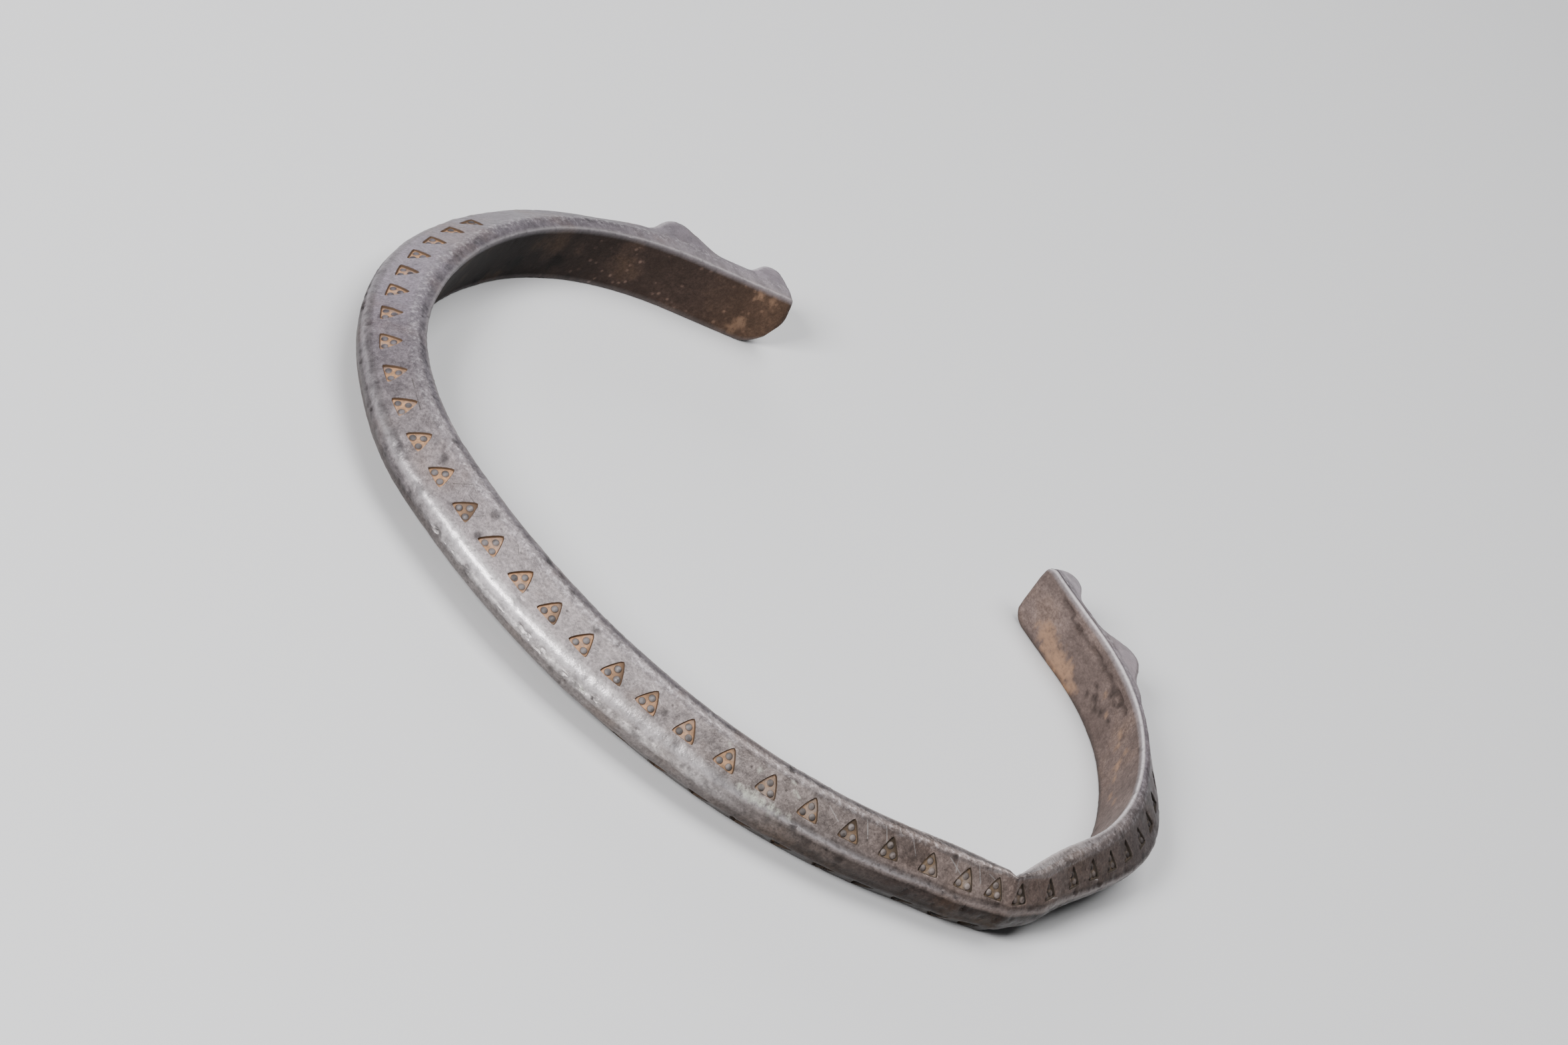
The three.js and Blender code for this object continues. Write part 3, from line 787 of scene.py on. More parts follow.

# Colours along the bar, side by side: tarnish with painted light and shade, lighter where the bar turns to
# the light and darker where it turns away, with a painted highlight on the belly at the front, painted shade
# on the underside and on the inside of the left, and the stamps' floors darker towards the right. After
# them, how bright the ridge and the inner edge are rubbed by wear, with a painted highlight, how lumpy the
# inside is, and where the finish is matte.
TONES = {
    "top": (
        (0.0, (0.22, 0.196, 0.215)),
        (place("left arm", 0.6), (0.10, 0.09, 0.10)),
        (place("left shoulder"), (0.15, 0.137, 0.15)),
        (place("left bend"), (0.19, 0.17, 0.192)),
        (place("front left"), (0.25, 0.226, 0.23)),
        (place("front right"), (0.27, 0.247, 0.247)),
        (place("front right", 0.6), (0.28, 0.247, 0.236)),
        (place("before crease"), (0.24, 0.20, 0.186)),
        (place("before crease", 0.75), (0.34, 0.285, 0.265)),
        (place("after crease"), (0.20, 0.16, 0.145)),
        (place("right bend"), (0.15, 0.122, 0.112)),
        (place("right bend", 0.6), (0.12, 0.105, 0.105)),
        (place("right arm", 0.4), (0.30, 0.265, 0.28)),
        (BAR_LENGTH, (0.34, 0.31, 0.33)),
    ),
    "strip": (
        (0.0, (0.21, 0.19, 0.20)),
        (place("left shoulder"), (0.13, 0.118, 0.13)),
        (place("left bend", 0.6), (0.13, 0.12, 0.13)),
        (place("front left"), (0.19, 0.175, 0.185)),
        (place("front right"), (0.15, 0.138, 0.145)),
        (place("before crease"), (0.15, 0.138, 0.138)),
        (place("before crease", 0.8), (0.16, 0.148, 0.148)),
        (place("after crease", 0.2), (0.33, 0.31, 0.31)),
        (place("right bend", 0.3), (0.24, 0.215, 0.215)),
        (place("right bend", 0.7), (0.22, 0.20, 0.215)),
        (place("right arm", 0.4), (0.15, 0.135, 0.145)),
        (BAR_LENGTH, (0.085, 0.076, 0.082)),
    ),
    # Belly: painted highlight at the front, painted shade past the crease.
    "belly": (
        (0.0, (0.20, 0.18, 0.195)),
        (place("left bend"), (0.065, 0.058, 0.06)),
        (place("front left"), (0.15, 0.137, 0.14)),
        (place("front left", 0.4), (0.50, 0.475, 0.475)),
        (place("front right"), (0.52, 0.49, 0.485)),
        (place("front right", 0.27), (0.42, 0.395, 0.39)),
        (place("front right", 0.5), (0.18, 0.162, 0.157)),
        (place("front right", 0.7), (0.095, 0.08, 0.074)),
        (place("before crease"), (0.05, 0.04, 0.037)),
        (place("after crease"), (0.022, 0.017, 0.015)),
        (place("right arm"), (0.08, 0.066, 0.062)),
        (BAR_LENGTH, (0.20, 0.18, 0.19)),
    ),
    # The underside's colour is painted shade.
    "under_shade": (
        (place("left bend"), (0.10, 0.088, 0.085)),
        (place("front right"), (0.085, 0.072, 0.066)),
        (place("front right", 0.9), (0.022, 0.018, 0.016)),
    ),
    # Brown of the inside, with painted shade that is darkest at the left shoulder.
    "inside": (
        (0.0, (0.095, 0.060, 0.043)),
        (place("left arm"), (0.05, 0.034, 0.028)),
        (place("left shoulder", 0.2), (0.013, 0.009, 0.008)),
        (place("front right"), (0.06, 0.045, 0.04)),
        (place("right bend"), (0.17, 0.135, 0.125)),
        (place("right arm"), (0.13, 0.098, 0.088)),
        (BAR_LENGTH, (0.15, 0.115, 0.105)),
    ),
    "stamp": (
        (place("left bend"), (0.37, 0.21, 0.11)),
        (place("front right"), (0.36, 0.20, 0.105)),
        (place("front right", 0.6), (0.23, 0.14, 0.08)),
        (place("before crease"), (0.15, 0.10, 0.06)),
        (place("right bend"), (0.10, 0.07, 0.045)),
    ),
}
# Ridge wear, with a painted highlight that is strongest at the front left.
RIDGE_WEAR_AND_HIGHLIGHT = (
    (place("left arm"), 0.3),
    (place("left bend", 0.5), 0.25),
    (place("front left"), 0.5),
    (place("front left", 0.4), 1.0),
    (place("front right", 0.3), 0.6),
    (place("front right", 0.9), 0.5),
    (place("before crease", 0.8), 0.08),
    (place("right arm"), 0.1),
    (BAR_LENGTH, 0.3),
)
# Inner edge wear, with a painted highlight that is strongest on the right.
EDGE_WEAR_AND_HIGHLIGHT = (
    (place("left arm"), 0.3),
    (place("front left"), 0.3),
    (place("front right", 0.5), 0.45),
    (place("right bend"), 0.6),
    (place("right bend", 0.4), 0.9),
    (place("right arm", 0.6), 0.8),
    (BAR_LENGTH, 0.6),
)
LUMPY = ((0.0, 0.2), (4.0, 0.7), (17.0, 1.0), (23.0, 0.25), (place("right bend"), 0.1), (BAR_LENGTH, 0.12))
MATTE = (
    (LEFT_NECK, 1.0),
    (LEFT_NECK + 6, 0.4),
    (place("left bend"), 0.0),
    (place("right bend", 0.7), 0.0),
    (RIGHT_NECK, 1.0),
)

# What the material reads from every vertex, beside its two colours.
NOTES = ("inside", "line", "rim", "worn", "sunk", "pellet", "stain", "warm", "pale", "lumpy", "matte")


def row_on_side(side, share):
    """Row of the outline at a share across one side."""
    rows = [row for row, (name, across) in enumerate(ROWS) if name == side]
    return rows[min(len(rows) - 1, int(share * len(rows)))]


def spot_on_bar(distance, side, share):
    return point_on_bar(distance, *outline_at(distance)[row_on_side(side, share)])


def near_ridge(side, share):
    """1 on the middle of the upper ridge's rounding, falling to nothing at both its sides."""
    if side == "ridge":
        return 1 - abs(share - 0.5) / RIDGE_FADE
    if side == "upper bevel":
        return max(0.0, RIDGE_SPREAD - share)
    if side == "belly":
        return max(0.0, share - (1 - RIDGE_SPREAD))
    return 0.0


def near_strip_line(side, share):
    """1 on the line between the bevel and the strip along the inner edge."""
    if side == "strip edge":
        return 1.0
    if side == "upper bevel":
        return max(0.0, 1 - (1 - share) / LINE_ON_BEVEL)
    if side == "upper strip":
        return max(0.0, 1 - share / LINE_ON_STRIP)
    return 0.0


def near_inner_edge(side, share):
    """1 on the rounding of the upper inner edge, less at both its sides."""
    return 1 - abs(share - EDGE_MIDDLE) / EDGE_FADE if side == "inner edge" else 0.0


def underneath(side, share):
    """Where the painted shade of the underside lies: 1 on the lower bevel and the underside, rising from
    nothing over the belly.
    """
    return max(0.0, UNDER_BELLY - share) if side == "belly" else UNDER_SHADE.get(side, 0.0)


def ripples(spot, sizes):
    return sum(height * noise.noise(spot * fineness) for height, fineness in sizes)


def roughness_at(spot, within, ridge, edge, line, lumpy):
    """How far the surface stands out at a spot, from the hammer and from wear."""
    dents = ripples(spot, DENTS)
    out = ripples(spot, HAMMER_SWELL)
    out -= RIDGE_DENT * ridge * max(RIDGE_PROUD, dents)
    out += (LINE_DENT * line + EDGE_DENT * edge) * dents
    out += RIDGE_RIPPLE * ridge * noise.noise(spot * RIDGE_FINENESS)
    out += LUMP_RISE * lumpy * ripples(spot, LUMPS)
    return out + INSIDE_RIPPLE * within * noise.noise(spot * INSIDE_FINENESS)


def all_hollows():
    """Centre, radius and depth of every chip, of the groove's steps and of every pit."""
    chance = random.Random(PIT_SEED)
    hollows = []
    for distance, side, share, radius, depth in CHIPS:
        hollows.append((spot_on_bar(distance, side, share), radius, depth))
    start, end = GROOVE[0][0], GROOVE[-1][0]
    for k in range(GROOVE_STEPS):
        distance = start + (end - start) * k / (GROOVE_STEPS - 1)
        spot = spot_on_bar(distance, "inner face", smooth_along(GROOVE, distance))
        hollows.append((spot, GROOVE_RADIUS, GROOVE_DEPTH))
    for k in range(PIT_COUNT):
        distance = chance.uniform(PITS_FROM, BAR_LENGTH - PITS_SHORT_OF_RIGHT)
        side = chance.choice(PIT_SIDES)
        depth = chance.uniform(*(BEVEL_PIT_DEPTH if side == "upper bevel" else PIT_DEPTH))
        spot = spot_on_bar(distance, side, chance.random())
        hollows.append((spot, chance.uniform(*PIT_RADIUS), depth))
    return hollows


def tone_along(table, distance):
    columns = [smooth_along([(where, colour[k]) for where, colour in table], distance) for k in range(3)]
    return Vector(columns)


def surface_facts(spots, distances):
    """For each vertex of the plain bar: two vectors of wear and painted highlight, two colours with painted
    light and shade, and a vector of finish.
    """
    tones = {name: [tone_along(table, d) for d in distances] for name, table in TONES.items()}
    ridge_wear_and_highlight = [smooth_along(RIDGE_WEAR_AND_HIGHLIGHT, distance) for distance in distances]
    rim = [smooth_along(EDGE_WEAR_AND_HIGHLIGHT, distance) for distance in distances]
    lumpy = [smooth_along(LUMPY, distance) for distance in distances]
    matte = [smooth_along(MATTE, distance) for distance in distances]
    facts = []
    for ring, row in spots:
        side, share = ROWS[row]
        within, under_shade = INSIDE_TONE.get(side, 0.0), underneath(side, share)
        ridge, edge = near_ridge(side, share), near_inner_edge(side, share)
        line = near_strip_line(side, share)
        tone = tones["top"][ring].lerp(tones["belly"][ring], BELLY_TONE.get(side, 0.0))
        tone = tone.lerp(tones["strip"][ring], STRIP_TONE.get(side, 0.0))
        tone = tone.lerp(tones["under_shade"][ring], under_shade).lerp(tones["inside"][ring], within)
        facts.append((
            Vector((within, ridge, edge)),
            Vector((line, edge * rim[ring], ridge * ridge_wear_and_highlight[ring])),
            tone,
            tones["stamp"][ring],
            Vector((within * lumpy[ring], matte[ring], 0)),
        ))
    return facts


def faces_in_order(bar, spots):
    """Corners of the bar's faces, listed alike in every run: each from its first spot, all in order."""
    listed = []
    for face in bar.data.polygons:
        corners = tuple(face.vertices)
        turns = [corners[k:] + corners[:k] for k in range(len(corners))]
        listed.append(min(([spots[c] for c in turn], turn) for turn in turns))
    return [turn for places, turn in sorted(listed)]


def survey_bar(bar, plain_points, plain_faces, facts):
    """For each vertex, its place on the plain bar, how deep it lies under it, and the facts there."""
    tree = BVHTree.FromPolygons(plain_points, plain_faces)
    kinds = range(len(facts[0]))
    survey = []
    for vertex in bar.data.vertices:
        point, normal, face, gap = tree.find_nearest(vertex.co)
        corners = [c for c in plain_faces[face] if c < len(facts)]
        weights = [1 / ((plain_points[c] - point).length + 0.001) for c in corners]
        total = sum(weights)
        mixed = [Vector((0, 0, 0)) for k in kinds]
        for corner, weight in zip(corners, weights):
            for k in kinds:
                mixed[k] += facts[corner][k] * (weight / total)
        depth = gap if (vertex.co - point).dot(normal) < 0 else 0.0
        survey.append((point, normal, depth, mixed))
    return survey


def weather_bar(bar, survey, hollows):
    """Moves the surface in and out for its unevenness, chips and pits."""
    tree = tree_of([centre for centre, radius, deep in hollows])
    widest = max(radius for centre, radius, deep in hollows)
    for vertex, (point, normal, depth, facts) in zip(bar.data.vertices, survey):
        out = roughness_at(point, *facts[0], facts[1].x, facts[4].x)
        for centre, k, gap in tree.find_range(point, widest):
            radius, deep = hollows[k][1:]
            if gap < radius:
                out -= deep * (1 - (gap / radius) ** 2)
        vertex.co += normal * out
    bar.data.update()


def marks_on(table):
    """Centre, radius and strength of every mark in a table."""
    marks = []
    for side, rows in table.items():
        for distance, share, radius, strength in rows:
            marks.append((spot_on_bar(distance, side, share), radius, strength))
    return marks


def strongest(tree, marks, point, widest):
    """How strongly the marks show at a point, their outlines uneven."""
    strength = 0.0
    uneven = 1 + ripples(point, OUTLINE_RIPPLES)
    for centre, k, gap in tree.find_range(point, widest):
        strength = max(strength, marks[k][2] * min(1.0, 2 - 2 * gap * uneven / marks[k][1]))
    return strength


def note_surface(bar, survey, pellets, hollows):
    """Stores on every vertex its wear and painted highlight, dirt, and colours with painted light and shade,
    for the material.
    """
    balls = tree_of(pellets)
    dark, warm, pale = marks_on(DARK_MARKS), marks_on(WARM_MARKS), marks_on(PALE_MARKS)
    for centre, radius, deep in hollows:
        dark.append((centre, radius * HOLLOW_DIRT_REACH, min(HOLLOW_DIRT_MOST, deep * HOLLOW_DIRT_BY_DEPTH)))
    widest = 2 * max(mark[1] for mark in dark + warm + pale)
    kinds = [(tree_of([mark[0] for mark in marks]), marks) for marks in (dark, warm, pale)]
    values = {name: [] for name in NOTES}
    metal, floors = [], []
    for point, normal, depth, mixed in survey:
        sunk = min(1.0, depth / STAMP_DEPTH)
        pellet = balls.find(point - normal * depth)[2] < PELLET_RADIUS * PELLET_FACE
        dirt = [strongest(tree, marks, point, widest) for tree, marks in kinds]
        row = (mixed[0].x, *mixed[1], sunk, pellet, *dirt, mixed[4].x, mixed[4].y)
        for name, value in zip(NOTES, row):
            values[name].append(float(value))
        metal += [*mixed[2], 1.0]
        floors += [*mixed[3], 1.0]
    for name in NOTES:
        attribute = bar.data.attributes.new(name, "FLOAT", "POINT")
        attribute.data.foreach_set("value", values[name])
    for name, colours in (("metal", metal), ("stamp_floor", floors)):
        attribute = bar.data.attributes.new(name, "FLOAT_COLOR", "POINT")
        attribute.data.foreach_set("color", colours)


# Tarnished silver: noises that break up the tarnish (fineness, detail, roughness), and its colours.
TARNISH_NOISES = {
    "patches": (230, 3, 0.55),
    "mottle": (750, 4, 0.6),
    "grain": (2600, 4, 0.7),
    "fine": (5600, 4, 0.7),
}
BROWN_TARNISH = (0.15, 0.095, 0.06)
WARM_DIRT = (0.28, 0.18, 0.125)
# Bright silver of wear, also used as the painted highlight on the ridge, the inner edge and the strip's
# line.
WORN_AND_HIGHLIGHT_SILVER = (0.74, 0.71, 0.725)
PALE_CRUST = (0.42, 0.43, 0.38)
LIGHT_SCRATCH = (0.5, 0.47, 0.46)
DARK_SCRATCH = (0.07, 0.065, 0.06)
OUTSIDE_SATURATION = 1.35
INSIDE_SATURATION = 1.12
BUMP_STRENGTH = 0.5
BUMP_DEPTH = 0.00006

# Scratches: where each starts and ends as (place, side, share across it), and its width.
LIGHT_SCRATCHES = (
    ((96.5, "strip edge", 0.0), (97.0, "upper bevel", 0.5), 0.07),
    ((98.0, "strip edge", 0.3), (98.5, "upper bevel", 0.57), 0.06),
    ((103.6, "upper bevel", 0.93), (105.1, "upper bevel", 0.5), 0.07),
    ((104.2, "strip edge", 0.5), (104.4, "upper bevel", 0.6), 0.05),
    ((106.0, "strip edge", 0.3), (106.6, "upper bevel", 0.5), 0.08),
    ((107.0, "upper bevel", 0.9), (108.2, "upper bevel", 0.6), 0.05),
    ((100.4, "upper bevel", 0.95), (100.9, "upper bevel", 0.55), 0.05),
    ((93.6, "upper bevel", 0.9), (94.6, "upper bevel", 0.6), 0.05),
    ((112.4, "upper bevel", 0.2), (114.0, "upper bevel", 0.05), 0.07),
    ((118.6, "upper bevel", 0.25), (119.8, "upper bevel", 0.12), 0.06),
    ((79.4, "upper bevel", 0.9), (80.6, "upper bevel", 0.6), 0.05),
)
DARK_SCRATCHES = (
    ((61.2, "upper bevel", 0.57), (61.8, "upper bevel", 0.93), 0.05),
    ((63.8, "upper bevel", 0.5), (64.1, "upper bevel", 0.71), 0.05),
    ((66.9, "upper bevel", 0.98), (67.5, "upper bevel", 0.8), 0.05),
    ((62.4, "upper bevel", 0.75), (63.4, "upper bevel", 0.7), 0.06),
    ((52.8, "upper bevel", 0.85), (55.4, "upper bevel", 0.8), 0.06),
)


class Nodes:
    """Small helper that adds nodes and joins them."""

    def __init__(self, material):
        material.use_nodes = True
        self.tree = material.node_tree
        self.tree.nodes.clear()

    def add(self, kind, **values):
        node = self.tree.nodes.new(kind)
        for name, value in values.items():
            setattr(node, name, value)
        return node

    def link(self, source, target):
        self.tree.links.new(source, target)

    def put(self, socket, value):
        if hasattr(value, "is_output"):
            self.link(value, socket)
        elif isinstance(value, tuple) and len(value) == 3 and socket.type == "RGBA":
            socket.default_value = (*value, 1.0)
        else:
            socket.default_value = value

    def attribute(self, name, output="Fac"):
        return self.add("ShaderNodeAttribute", attribute_name=name).outputs[output]

    def noise(self, where, scale, detail=3.0, roughness=0.55):
        node = self.add("ShaderNodeTexNoise")
        self.link(where, node.inputs["Vector"])
        node.inputs["Scale"].default_value = scale
        node.inputs["Detail"].default_value = detail
        node.inputs["Roughness"].default_value = roughness
        return node.outputs["Fac"]

    def cells(self, where, scale):
        node = self.add("ShaderNodeTexVoronoi")
        self.link(where, node.inputs["Vector"])
        node.inputs["Scale"].default_value = scale
        return node.outputs["Distance"]

    def wavy(self, where, scale, reach):
        """The coordinates pushed about by a noise, so that what is laid on them has uneven outlines."""
        node = self.add("ShaderNodeTexNoise")
        self.link(where, node.inputs["Vector"])
        node.inputs["Scale"].default_value = scale
        push = self.add("ShaderNodeVectorMath", operation="SCALE")
        self.link(node.outputs["Color"], push.inputs[0])
        push.inputs["Scale"].default_value = reach
        moved = self.add("ShaderNodeVectorMath", operation="ADD")
        self.link(where, moved.inputs[0])
        self.link(push.outputs[0], moved.inputs[1])
        return moved.outputs[0]

    def ramp(self, value, low, high, start=0.0, end=1.0):
        """Smooth change from start to end while value goes from low to high."""
        node = self.add("ShaderNodeMapRange", interpolation_type="SMOOTHSTEP")
        self.put(node.inputs["Value"], value)
        for name, number in (("From Min", low), ("From Max", high), ("To Min", start), ("To Max", end)):
            node.inputs[name].default_value = number
        return node.outputs["Result"]

    def reckon(self, operation, first, second):
        node = self.add("ShaderNodeMath", operation=operation)
        self.put(node.inputs[0], first)
        self.put(node.inputs[1], second)
        return node.outputs[0]

    def times(self, first, second):
        return self.reckon("MULTIPLY", first, second)

    def most(self, first, second):
        return self.reckon("MAXIMUM", first, second)

    def mix(self, factor, first, second):
        node = self.add("ShaderNodeMix", data_type="RGBA")
        self.put(node.inputs["Factor"], factor)
        self.put(node.inputs[6], first)
        self.put(node.inputs[7], second)
        return node.outputs[2]

    def tint(self, colour, strength):
        """The colour made lighter or darker."""
        node = self.add("ShaderNodeVectorMath", operation="SCALE")
        self.put(node.inputs[0], colour)
        self.put(node.inputs["Scale"], strength)
        return node.outputs[0]

    def segment(self, where, start, end, width):
        """1 on a straight line from start to end, fading at its width."""
        way = end - start
        offset = self.add("ShaderNodeVectorMath", operation="SUBTRACT")
        self.link(where, offset.inputs[0])
        offset.inputs[1].default_value = start
        reach = self.add("ShaderNodeVectorMath", operation="DOT_PRODUCT")
        self.link(offset.outputs[0], reach.inputs[0])
        reach.inputs[1].default_value = way / way.length_squared
        share = self.add("ShaderNodeClamp")
        self.link(reach.outputs["Value"], share.inputs["Value"])
        nearest = self.add("ShaderNodeVectorMath", operation="SCALE")
        nearest.inputs[0].default_value = way
        self.link(share.outputs[0], nearest.inputs["Scale"])
        gap = self.add("ShaderNodeVectorMath", operation="DISTANCE")
        self.link(offset.outputs[0], gap.inputs[0])
        self.link(nearest.outputs[0], gap.inputs[1])
        return self.ramp(gap.outputs["Value"], width * 0.3, width, 1.0, 0.0)

    def blend(self, factor, first, second):
        node = self.add("ShaderNodeMix", data_type="FLOAT")
        self.put(node.inputs["Factor"], factor)
        self.put(node.inputs[2], first)
        self.put(node.inputs[3], second)
        return node.outputs[0]

    def surface(self, inputs):
        """The surface's shader, with what is set or linked on its inputs."""
        shader = self.add("ShaderNodeBsdfPrincipled")
        for name, value in inputs.items():
            self.put(shader.inputs[name], value)
        output = self.add("ShaderNodeOutputMaterial")
        self.link(shader.outputs["BSDF"], output.inputs["Surface"])


def read_surface(n):
    """The place on the bracelet, the noises and what is stored on its vertices, by name."""
    where = n.add("ShaderNodeTexCoord").outputs["Object"]
    noises = {name: n.noise(where, *settings) for name, settings in TARNISH_NOISES.items()}
    notes = {name: n.attribute(name) for name in NOTES}
    colours = {name: n.attribute(name, "Color") for name in ("metal", "stamp_floor")}
    return SimpleNamespace(where=where, **noises, **notes, **colours)


def tarnish_with_painted_light(n, s):
    """The colours with their painted light and shade, mottled as tarnish, browner in patches, and smoother
    at the matte ends.
    """
    colour = n.tint(s.metal, n.ramp(s.mottle, 0.32, 0.68, 0.86, 1.12))
    brown = n.mix(0.5, s.metal, BROWN_TARNISH)
    colour = n.mix(n.ramp(s.patches, 0.5, 0.72, 0.0, 0.4), colour, brown)
    smooth = n.times(s.matte, n.reckon("SUBTRACT", 1.0, s.inside))
    coarse = n.blend(n.times(smooth, 0.75), n.ramp(s.grain, 0.3, 0.7, 0.78, 1.2), 1.0)
    delicate = n.blend(n.times(smooth, 0.6), n.ramp(s.fine, 0.3, 0.7, 0.76, 1.24), 1.0)
    return n.tint(n.tint(colour, coarse), delicate)


def dirty_colour(n, s, colour):
    """Dark specks and spots, light flecks and dark smudges inside, warm dirt and stains."""
    specks = n.ramp(n.cells(s.where, 1300), 0.06, 0.2, 1.0, 0.0)
    specks = n.times(specks, n.ramp(s.mottle, 0.45, 0.6, 0.0, 0.8))
    spots = n.ramp(n.cells(n.wavy(s.where, 900, 0.0005), 560), 0.09, 0.24, 1.0, 0.0)
    spots = n.times(spots, n.ramp(n.noise(s.where, 330, 2), 0.5, 0.6, 0.0, 0.75))
    dark = n.times(n.most(specks, spots), n.blend(s.matte, 1.0, 0.3))
    colour = n.mix(dark, colour, n.tint(s.metal, 0.3))
    flecks = n.times(n.ramp(n.cells(s.where, 1250), 0.08, 0.28, 1.0, 0.0), s.lumpy)
    flecks = n.times(flecks, n.ramp(s.mottle, 0.42, 0.6, 0.1, 0.9))
    colour = n.mix(flecks, colour, n.tint(s.metal, 4.2))
    smudge = n.times(s.inside, n.ramp(s.patches, 0.42, 0.62, 0.45, 0.0))
    colour = n.mix(smudge, colour, n.tint(s.metal, 0.45))
    warm = n.times(s.warm, n.ramp(s.grain, 0.25, 0.55, 0.2, 0.9))
    colour = n.mix(warm, colour, WARM_DIRT)
    stain = n.times(s.stain, n.ramp(s.grain, 0.25, 0.5, 0.3, 0.9))
    return n.mix(stain, colour, n.tint(s.metal, 0.25))


def wear_and_highlight_mask(n, s):
    """How far the silver is rubbed bright by wear, with a painted highlight, on the ridge, the inner edge
    and the strip's line.
    """
    ridge = n.times(s.worn, n.ramp(s.grain, 0.3, 0.55, 0.35, 1.0))
    edge = n.times(s.rim, n.ramp(s.grain, 0.3, 0.5, 0.4, 0.85))
    line = n.times(s.line, n.ramp(s.grain, 0.48, 0.66, 0.0, 0.22))
    return n.most(n.times(ridge, 0.85), n.most(edge, line))


def scratched_colour(n, s, colour, scratches, shade, shift):
    for start, end, width in scratches:
        ends = [(spot_on_bar(*spot) + shift) * MM for spot in (start, end)]
        mark = n.segment(s.where, *ends, width * MM)
        colour = n.mix(n.times(mark, n.ramp(s.grain, 0.35, 0.5, 0.2, 0.75)), colour, shade)
    return colour


def triangle_colour(n, s, colour, wall, floor):
    """Dark walls, tan dirt on the floor, and grey pellets, in the punched triangles."""
    dirt = n.tint(s.stamp_floor, n.ramp(s.grain, 0.3, 0.7, 0.6, 1.3))
    dirt = n.mix(n.ramp(s.mottle, 0.45, 0.65, 0.0, 0.5), dirt, n.tint(s.metal, 0.8))
    colour = n.mix(wall, colour, n.tint(s.stamp_floor, 0.22))
    colour = n.mix(floor, colour, dirt)
    cloud = n.ramp(n.noise(s.where, 1400, 1), 0.35, 0.6)
    return n.mix(s.pellet, colour, n.mix(cloud, n.tint(s.metal, 0.38), n.tint(s.metal, 0.75)))


def tarnished_silver(shift):
    """Old silver: grey-lilac tarnish with painted light and shade, browner in hollows, bright where rubbed
    by wear and where a highlight is painted.
    """
    material = bpy.data.materials.new("tarnished_silver")
    n = Nodes(material)
    s = read_surface(n)
    rubbed_and_highlit = wear_and_highlight_mask(n, s)
    crust = n.times(s.pale, n.ramp(s.fine, 0.38, 0.55, 0.25, 0.85))
    wall = n.ramp(s.sunk, 0.05, 0.25)
    floor = n.ramp(s.sunk, 0.7, 0.98)

    colour = dirty_colour(n, s, tarnish_with_painted_light(n, s))
    # Bright silver where rubbed by wear, and painted highlight.
    colour = n.mix(rubbed_and_highlit, colour, WORN_AND_HIGHLIGHT_SILVER)
    colour = n.mix(n.times(n.times(rubbed_and_highlit, s.stain), 0.9), colour, n.tint(s.metal, 0.3))
    colour = n.mix(crust, colour, PALE_CRUST)
    colour = scratched_colour(n, s, colour, LIGHT_SCRATCHES, LIGHT_SCRATCH, shift)
    colour = scratched_colour(n, s, colour, DARK_SCRATCHES, DARK_SCRATCH, shift)
    vivid = n.add("ShaderNodeHueSaturation")
    n.link(n.blend(s.inside, OUTSIDE_SATURATION, INSIDE_SATURATION), vivid.inputs["Saturation"])
    n.link(colour, vivid.inputs["Color"])
    colour = triangle_colour(n, s, vivid.outputs["Color"], wall, floor)

    metal = n.blend(s.inside, n.blend(s.matte, 0.8, 0.3), 0.15)
    metal = n.blend(n.most(wall, crust), metal, 0.15)
    metal = n.blend(s.pellet, metal, 0.7)
    rough = n.blend(rubbed_and_highlit, n.ramp(s.mottle, 0.3, 0.7, 0.38, 0.54), 0.32)
    rough = n.blend(n.most(n.most(s.inside, wall), crust), rough, 0.72)
    bump = n.add("ShaderNodeBump")
    n.link(n.reckon("ADD", n.times(s.grain, 0.6), s.fine), bump.inputs["Height"])
    bump.inputs["Strength"].default_value = BUMP_STRENGTH
    bump.inputs["Distance"].default_value = BUMP_DEPTH
    n.surface({
        "Base Color": colour,
        "Metallic": metal,
        "Roughness": rough,
        "Specular IOR Level": n.blend(s.inside, 0.5, 0.15),
        "Normal": bump.outputs["Normal"],
    })
    return material


# Studio: pale floor and sky, and the lights as place and size in metres and power in watts.
FLOOR_SIZE = 3.0
FLOOR_COLOUR = (0.68, 0.68, 0.69)
FLOOR_ROUGHNESS = 0.7
SKY_COLOUR = (0.8, 0.82, 0.85)
SKY_STRENGTH = 0.08
LIGHTS = {
    "key": ((-0.2, -0.42, 0.26), (0.14, 0.14), 4.5),
    "overhead": ((0.0, 0.1, 0.45), (0.4, 0.3), 2.6),
    "rear": ((-0.3, 0.4, 0.16), (0.3, 0.15), 0.8),
}


def make_floor():
    begin()
    bpy.ops.mesh.primitive_plane_add(size=FLOOR_SIZE, location=(0, 0, 0))
    floor = bpy.context.object
    floor.name = "floor"
    material = bpy.data.materials.new("pale_floor")
    Nodes(material).surface({"Base Color": FLOOR_COLOUR, "Roughness": FLOOR_ROUGHNESS})
    floor.data.materials.append(material)


def soft_light(name, location, size, power):
    lamp = bpy.data.lights.new(name, "AREA")
    lamp.shape = "RECTANGLE"
    lamp.size, lamp.size_y = size
    lamp.energy = power
    light = bpy.data.objects.new(name, lamp)
    light.location = location
    light.rotation_euler = (-Vector(location)).to_track_quat("-Z", "Y").to_euler()
    bpy.context.scene.collection.objects.link(light)


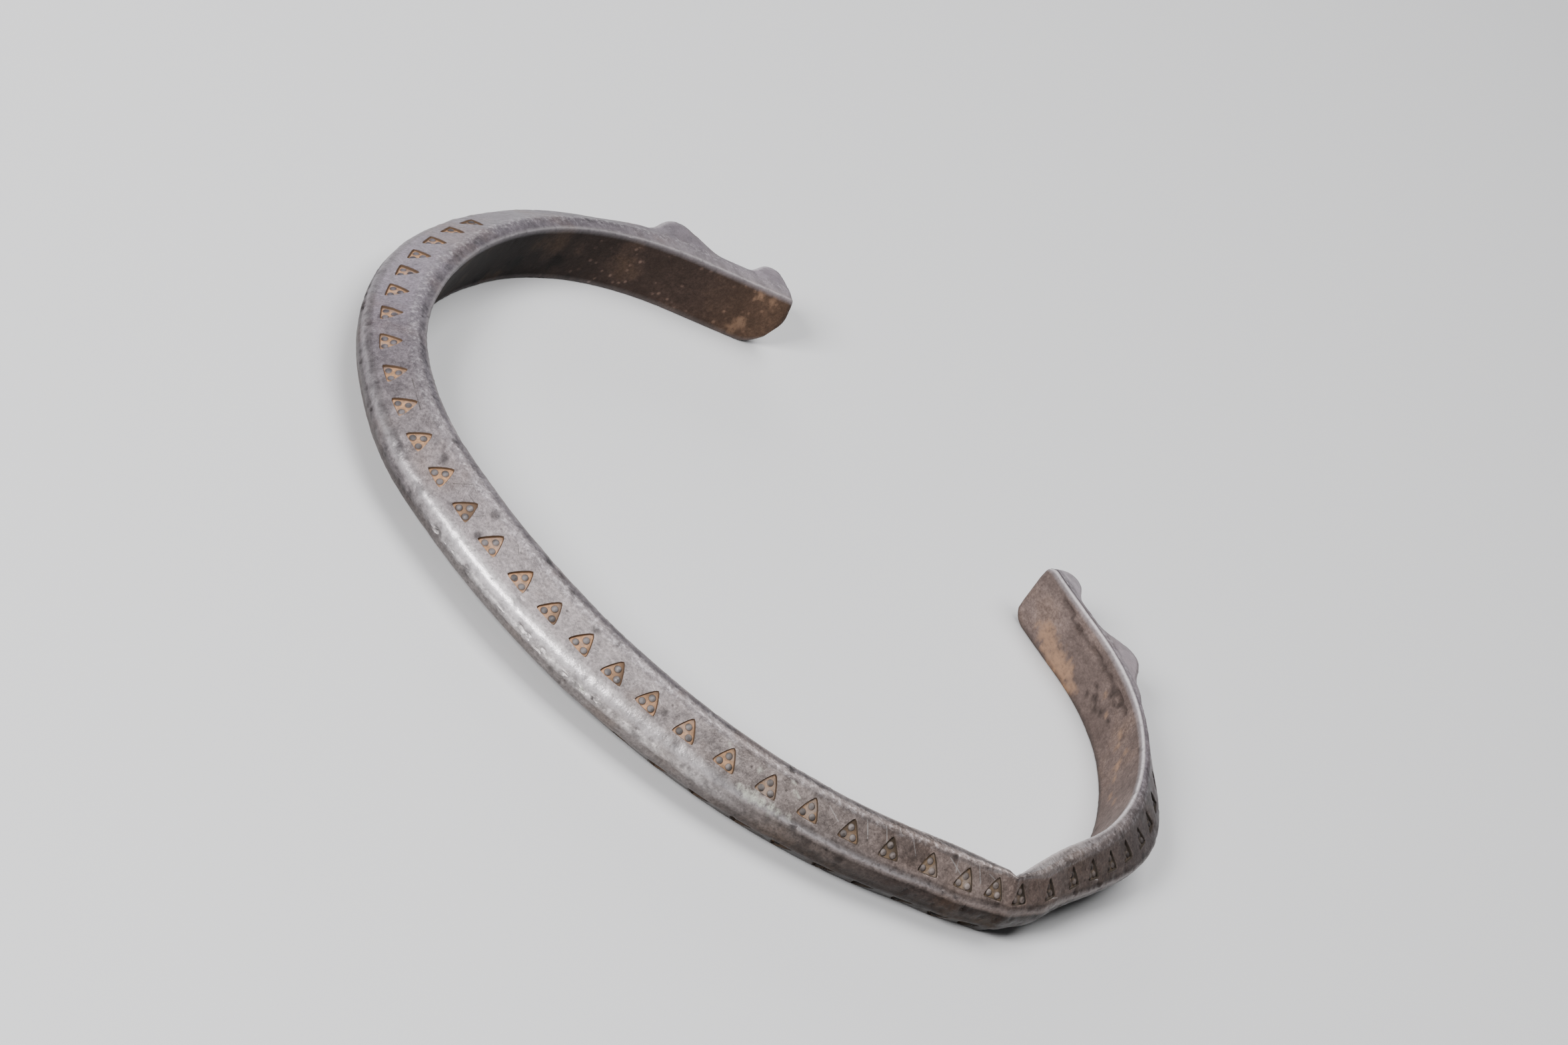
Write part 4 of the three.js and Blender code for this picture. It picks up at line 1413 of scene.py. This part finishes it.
def set_studio():
    make_floor()
    world = bpy.data.worlds.new("studio")
    world.use_nodes = True
    background = world.node_tree.nodes["Background"]
    background.inputs["Color"].default_value = (*SKY_COLOUR, 1)
    background.inputs["Strength"].default_value = SKY_STRENGTH
    bpy.context.scene.world = world
    for name, (location, size, power) in LIGHTS.items():
        soft_light(name, location, size, power)


def set_camera():
    camera = bpy.data.cameras.new("camera")
    camera.lens = CAMERA_LENS
    camera.sensor_width = CAMERA_SENSOR
    camera.dof.use_dof = False
    camera.clip_start, camera.clip_end = CAMERA_SIGHT
    view = bpy.data.objects.new("camera", camera)
    roll, rise = math.radians(CAMERA_ROLL), math.radians(CAMERA_RISE)
    right = Vector((math.cos(roll), math.sin(rise) * math.sin(roll), math.cos(rise) * math.sin(roll)))
    up = Vector((-math.sin(roll), math.sin(rise) * math.cos(roll), math.cos(rise) * math.cos(roll)))
    back = Vector((0, -math.cos(rise), math.sin(rise)))
    matrix = Matrix((right, up, back)).transposed().to_4x4()
    matrix.translation = Vector(CAMERA_AT) * MM
    view.matrix_world = matrix
    bpy.context.scene.collection.objects.link(view)
    bpy.context.scene.camera = view


def centring_shift(points):
    """How far the bar moves to stand on the floor with the middle of its plan at the origin."""
    lows = Vector([min(point[i] for point in points) for i in range(3)])
    highs = Vector([max(point[i] for point in points) for i in range(3)])
    return Vector((-(lows.x + highs.x) / 2, -(lows.y + highs.y) / 2, -lows.z))


bracelet, distances = bend_wire()
distances, centres = refine_wire(bracelet, distances)
spots = find_spots(bracelet, distances, centres)
forge_bar(bracelet, spots, distances)
close_ends(bracelet)
plain_points = [vertex.co.copy() for vertex in bracelet.data.vertices]
plain_faces = faces_in_order(bracelet, spots)
shift = centring_shift(plain_points)
pellets = stamp_bar(bracelet)
survey = survey_bar(bracelet, plain_points, plain_faces, surface_facts(spots, distances))
hollows = all_hollows()
note_surface(bracelet, survey, pellets, hollows)
weather_bar(bracelet, survey, hollows)
bracelet.data.transform(Matrix.Diagonal((MM, MM, MM, 1)) @ Matrix.Translation(shift))
bracelet.data.materials.clear()
bracelet.data.materials.append(tarnished_silver(shift))
choose(bracelet)
bpy.ops.object.shade_smooth_by_angle(angle=math.radians(SMOOTH_BELOW))
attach(bracelet, "root")
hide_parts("bracelet")
set_studio()
set_camera()
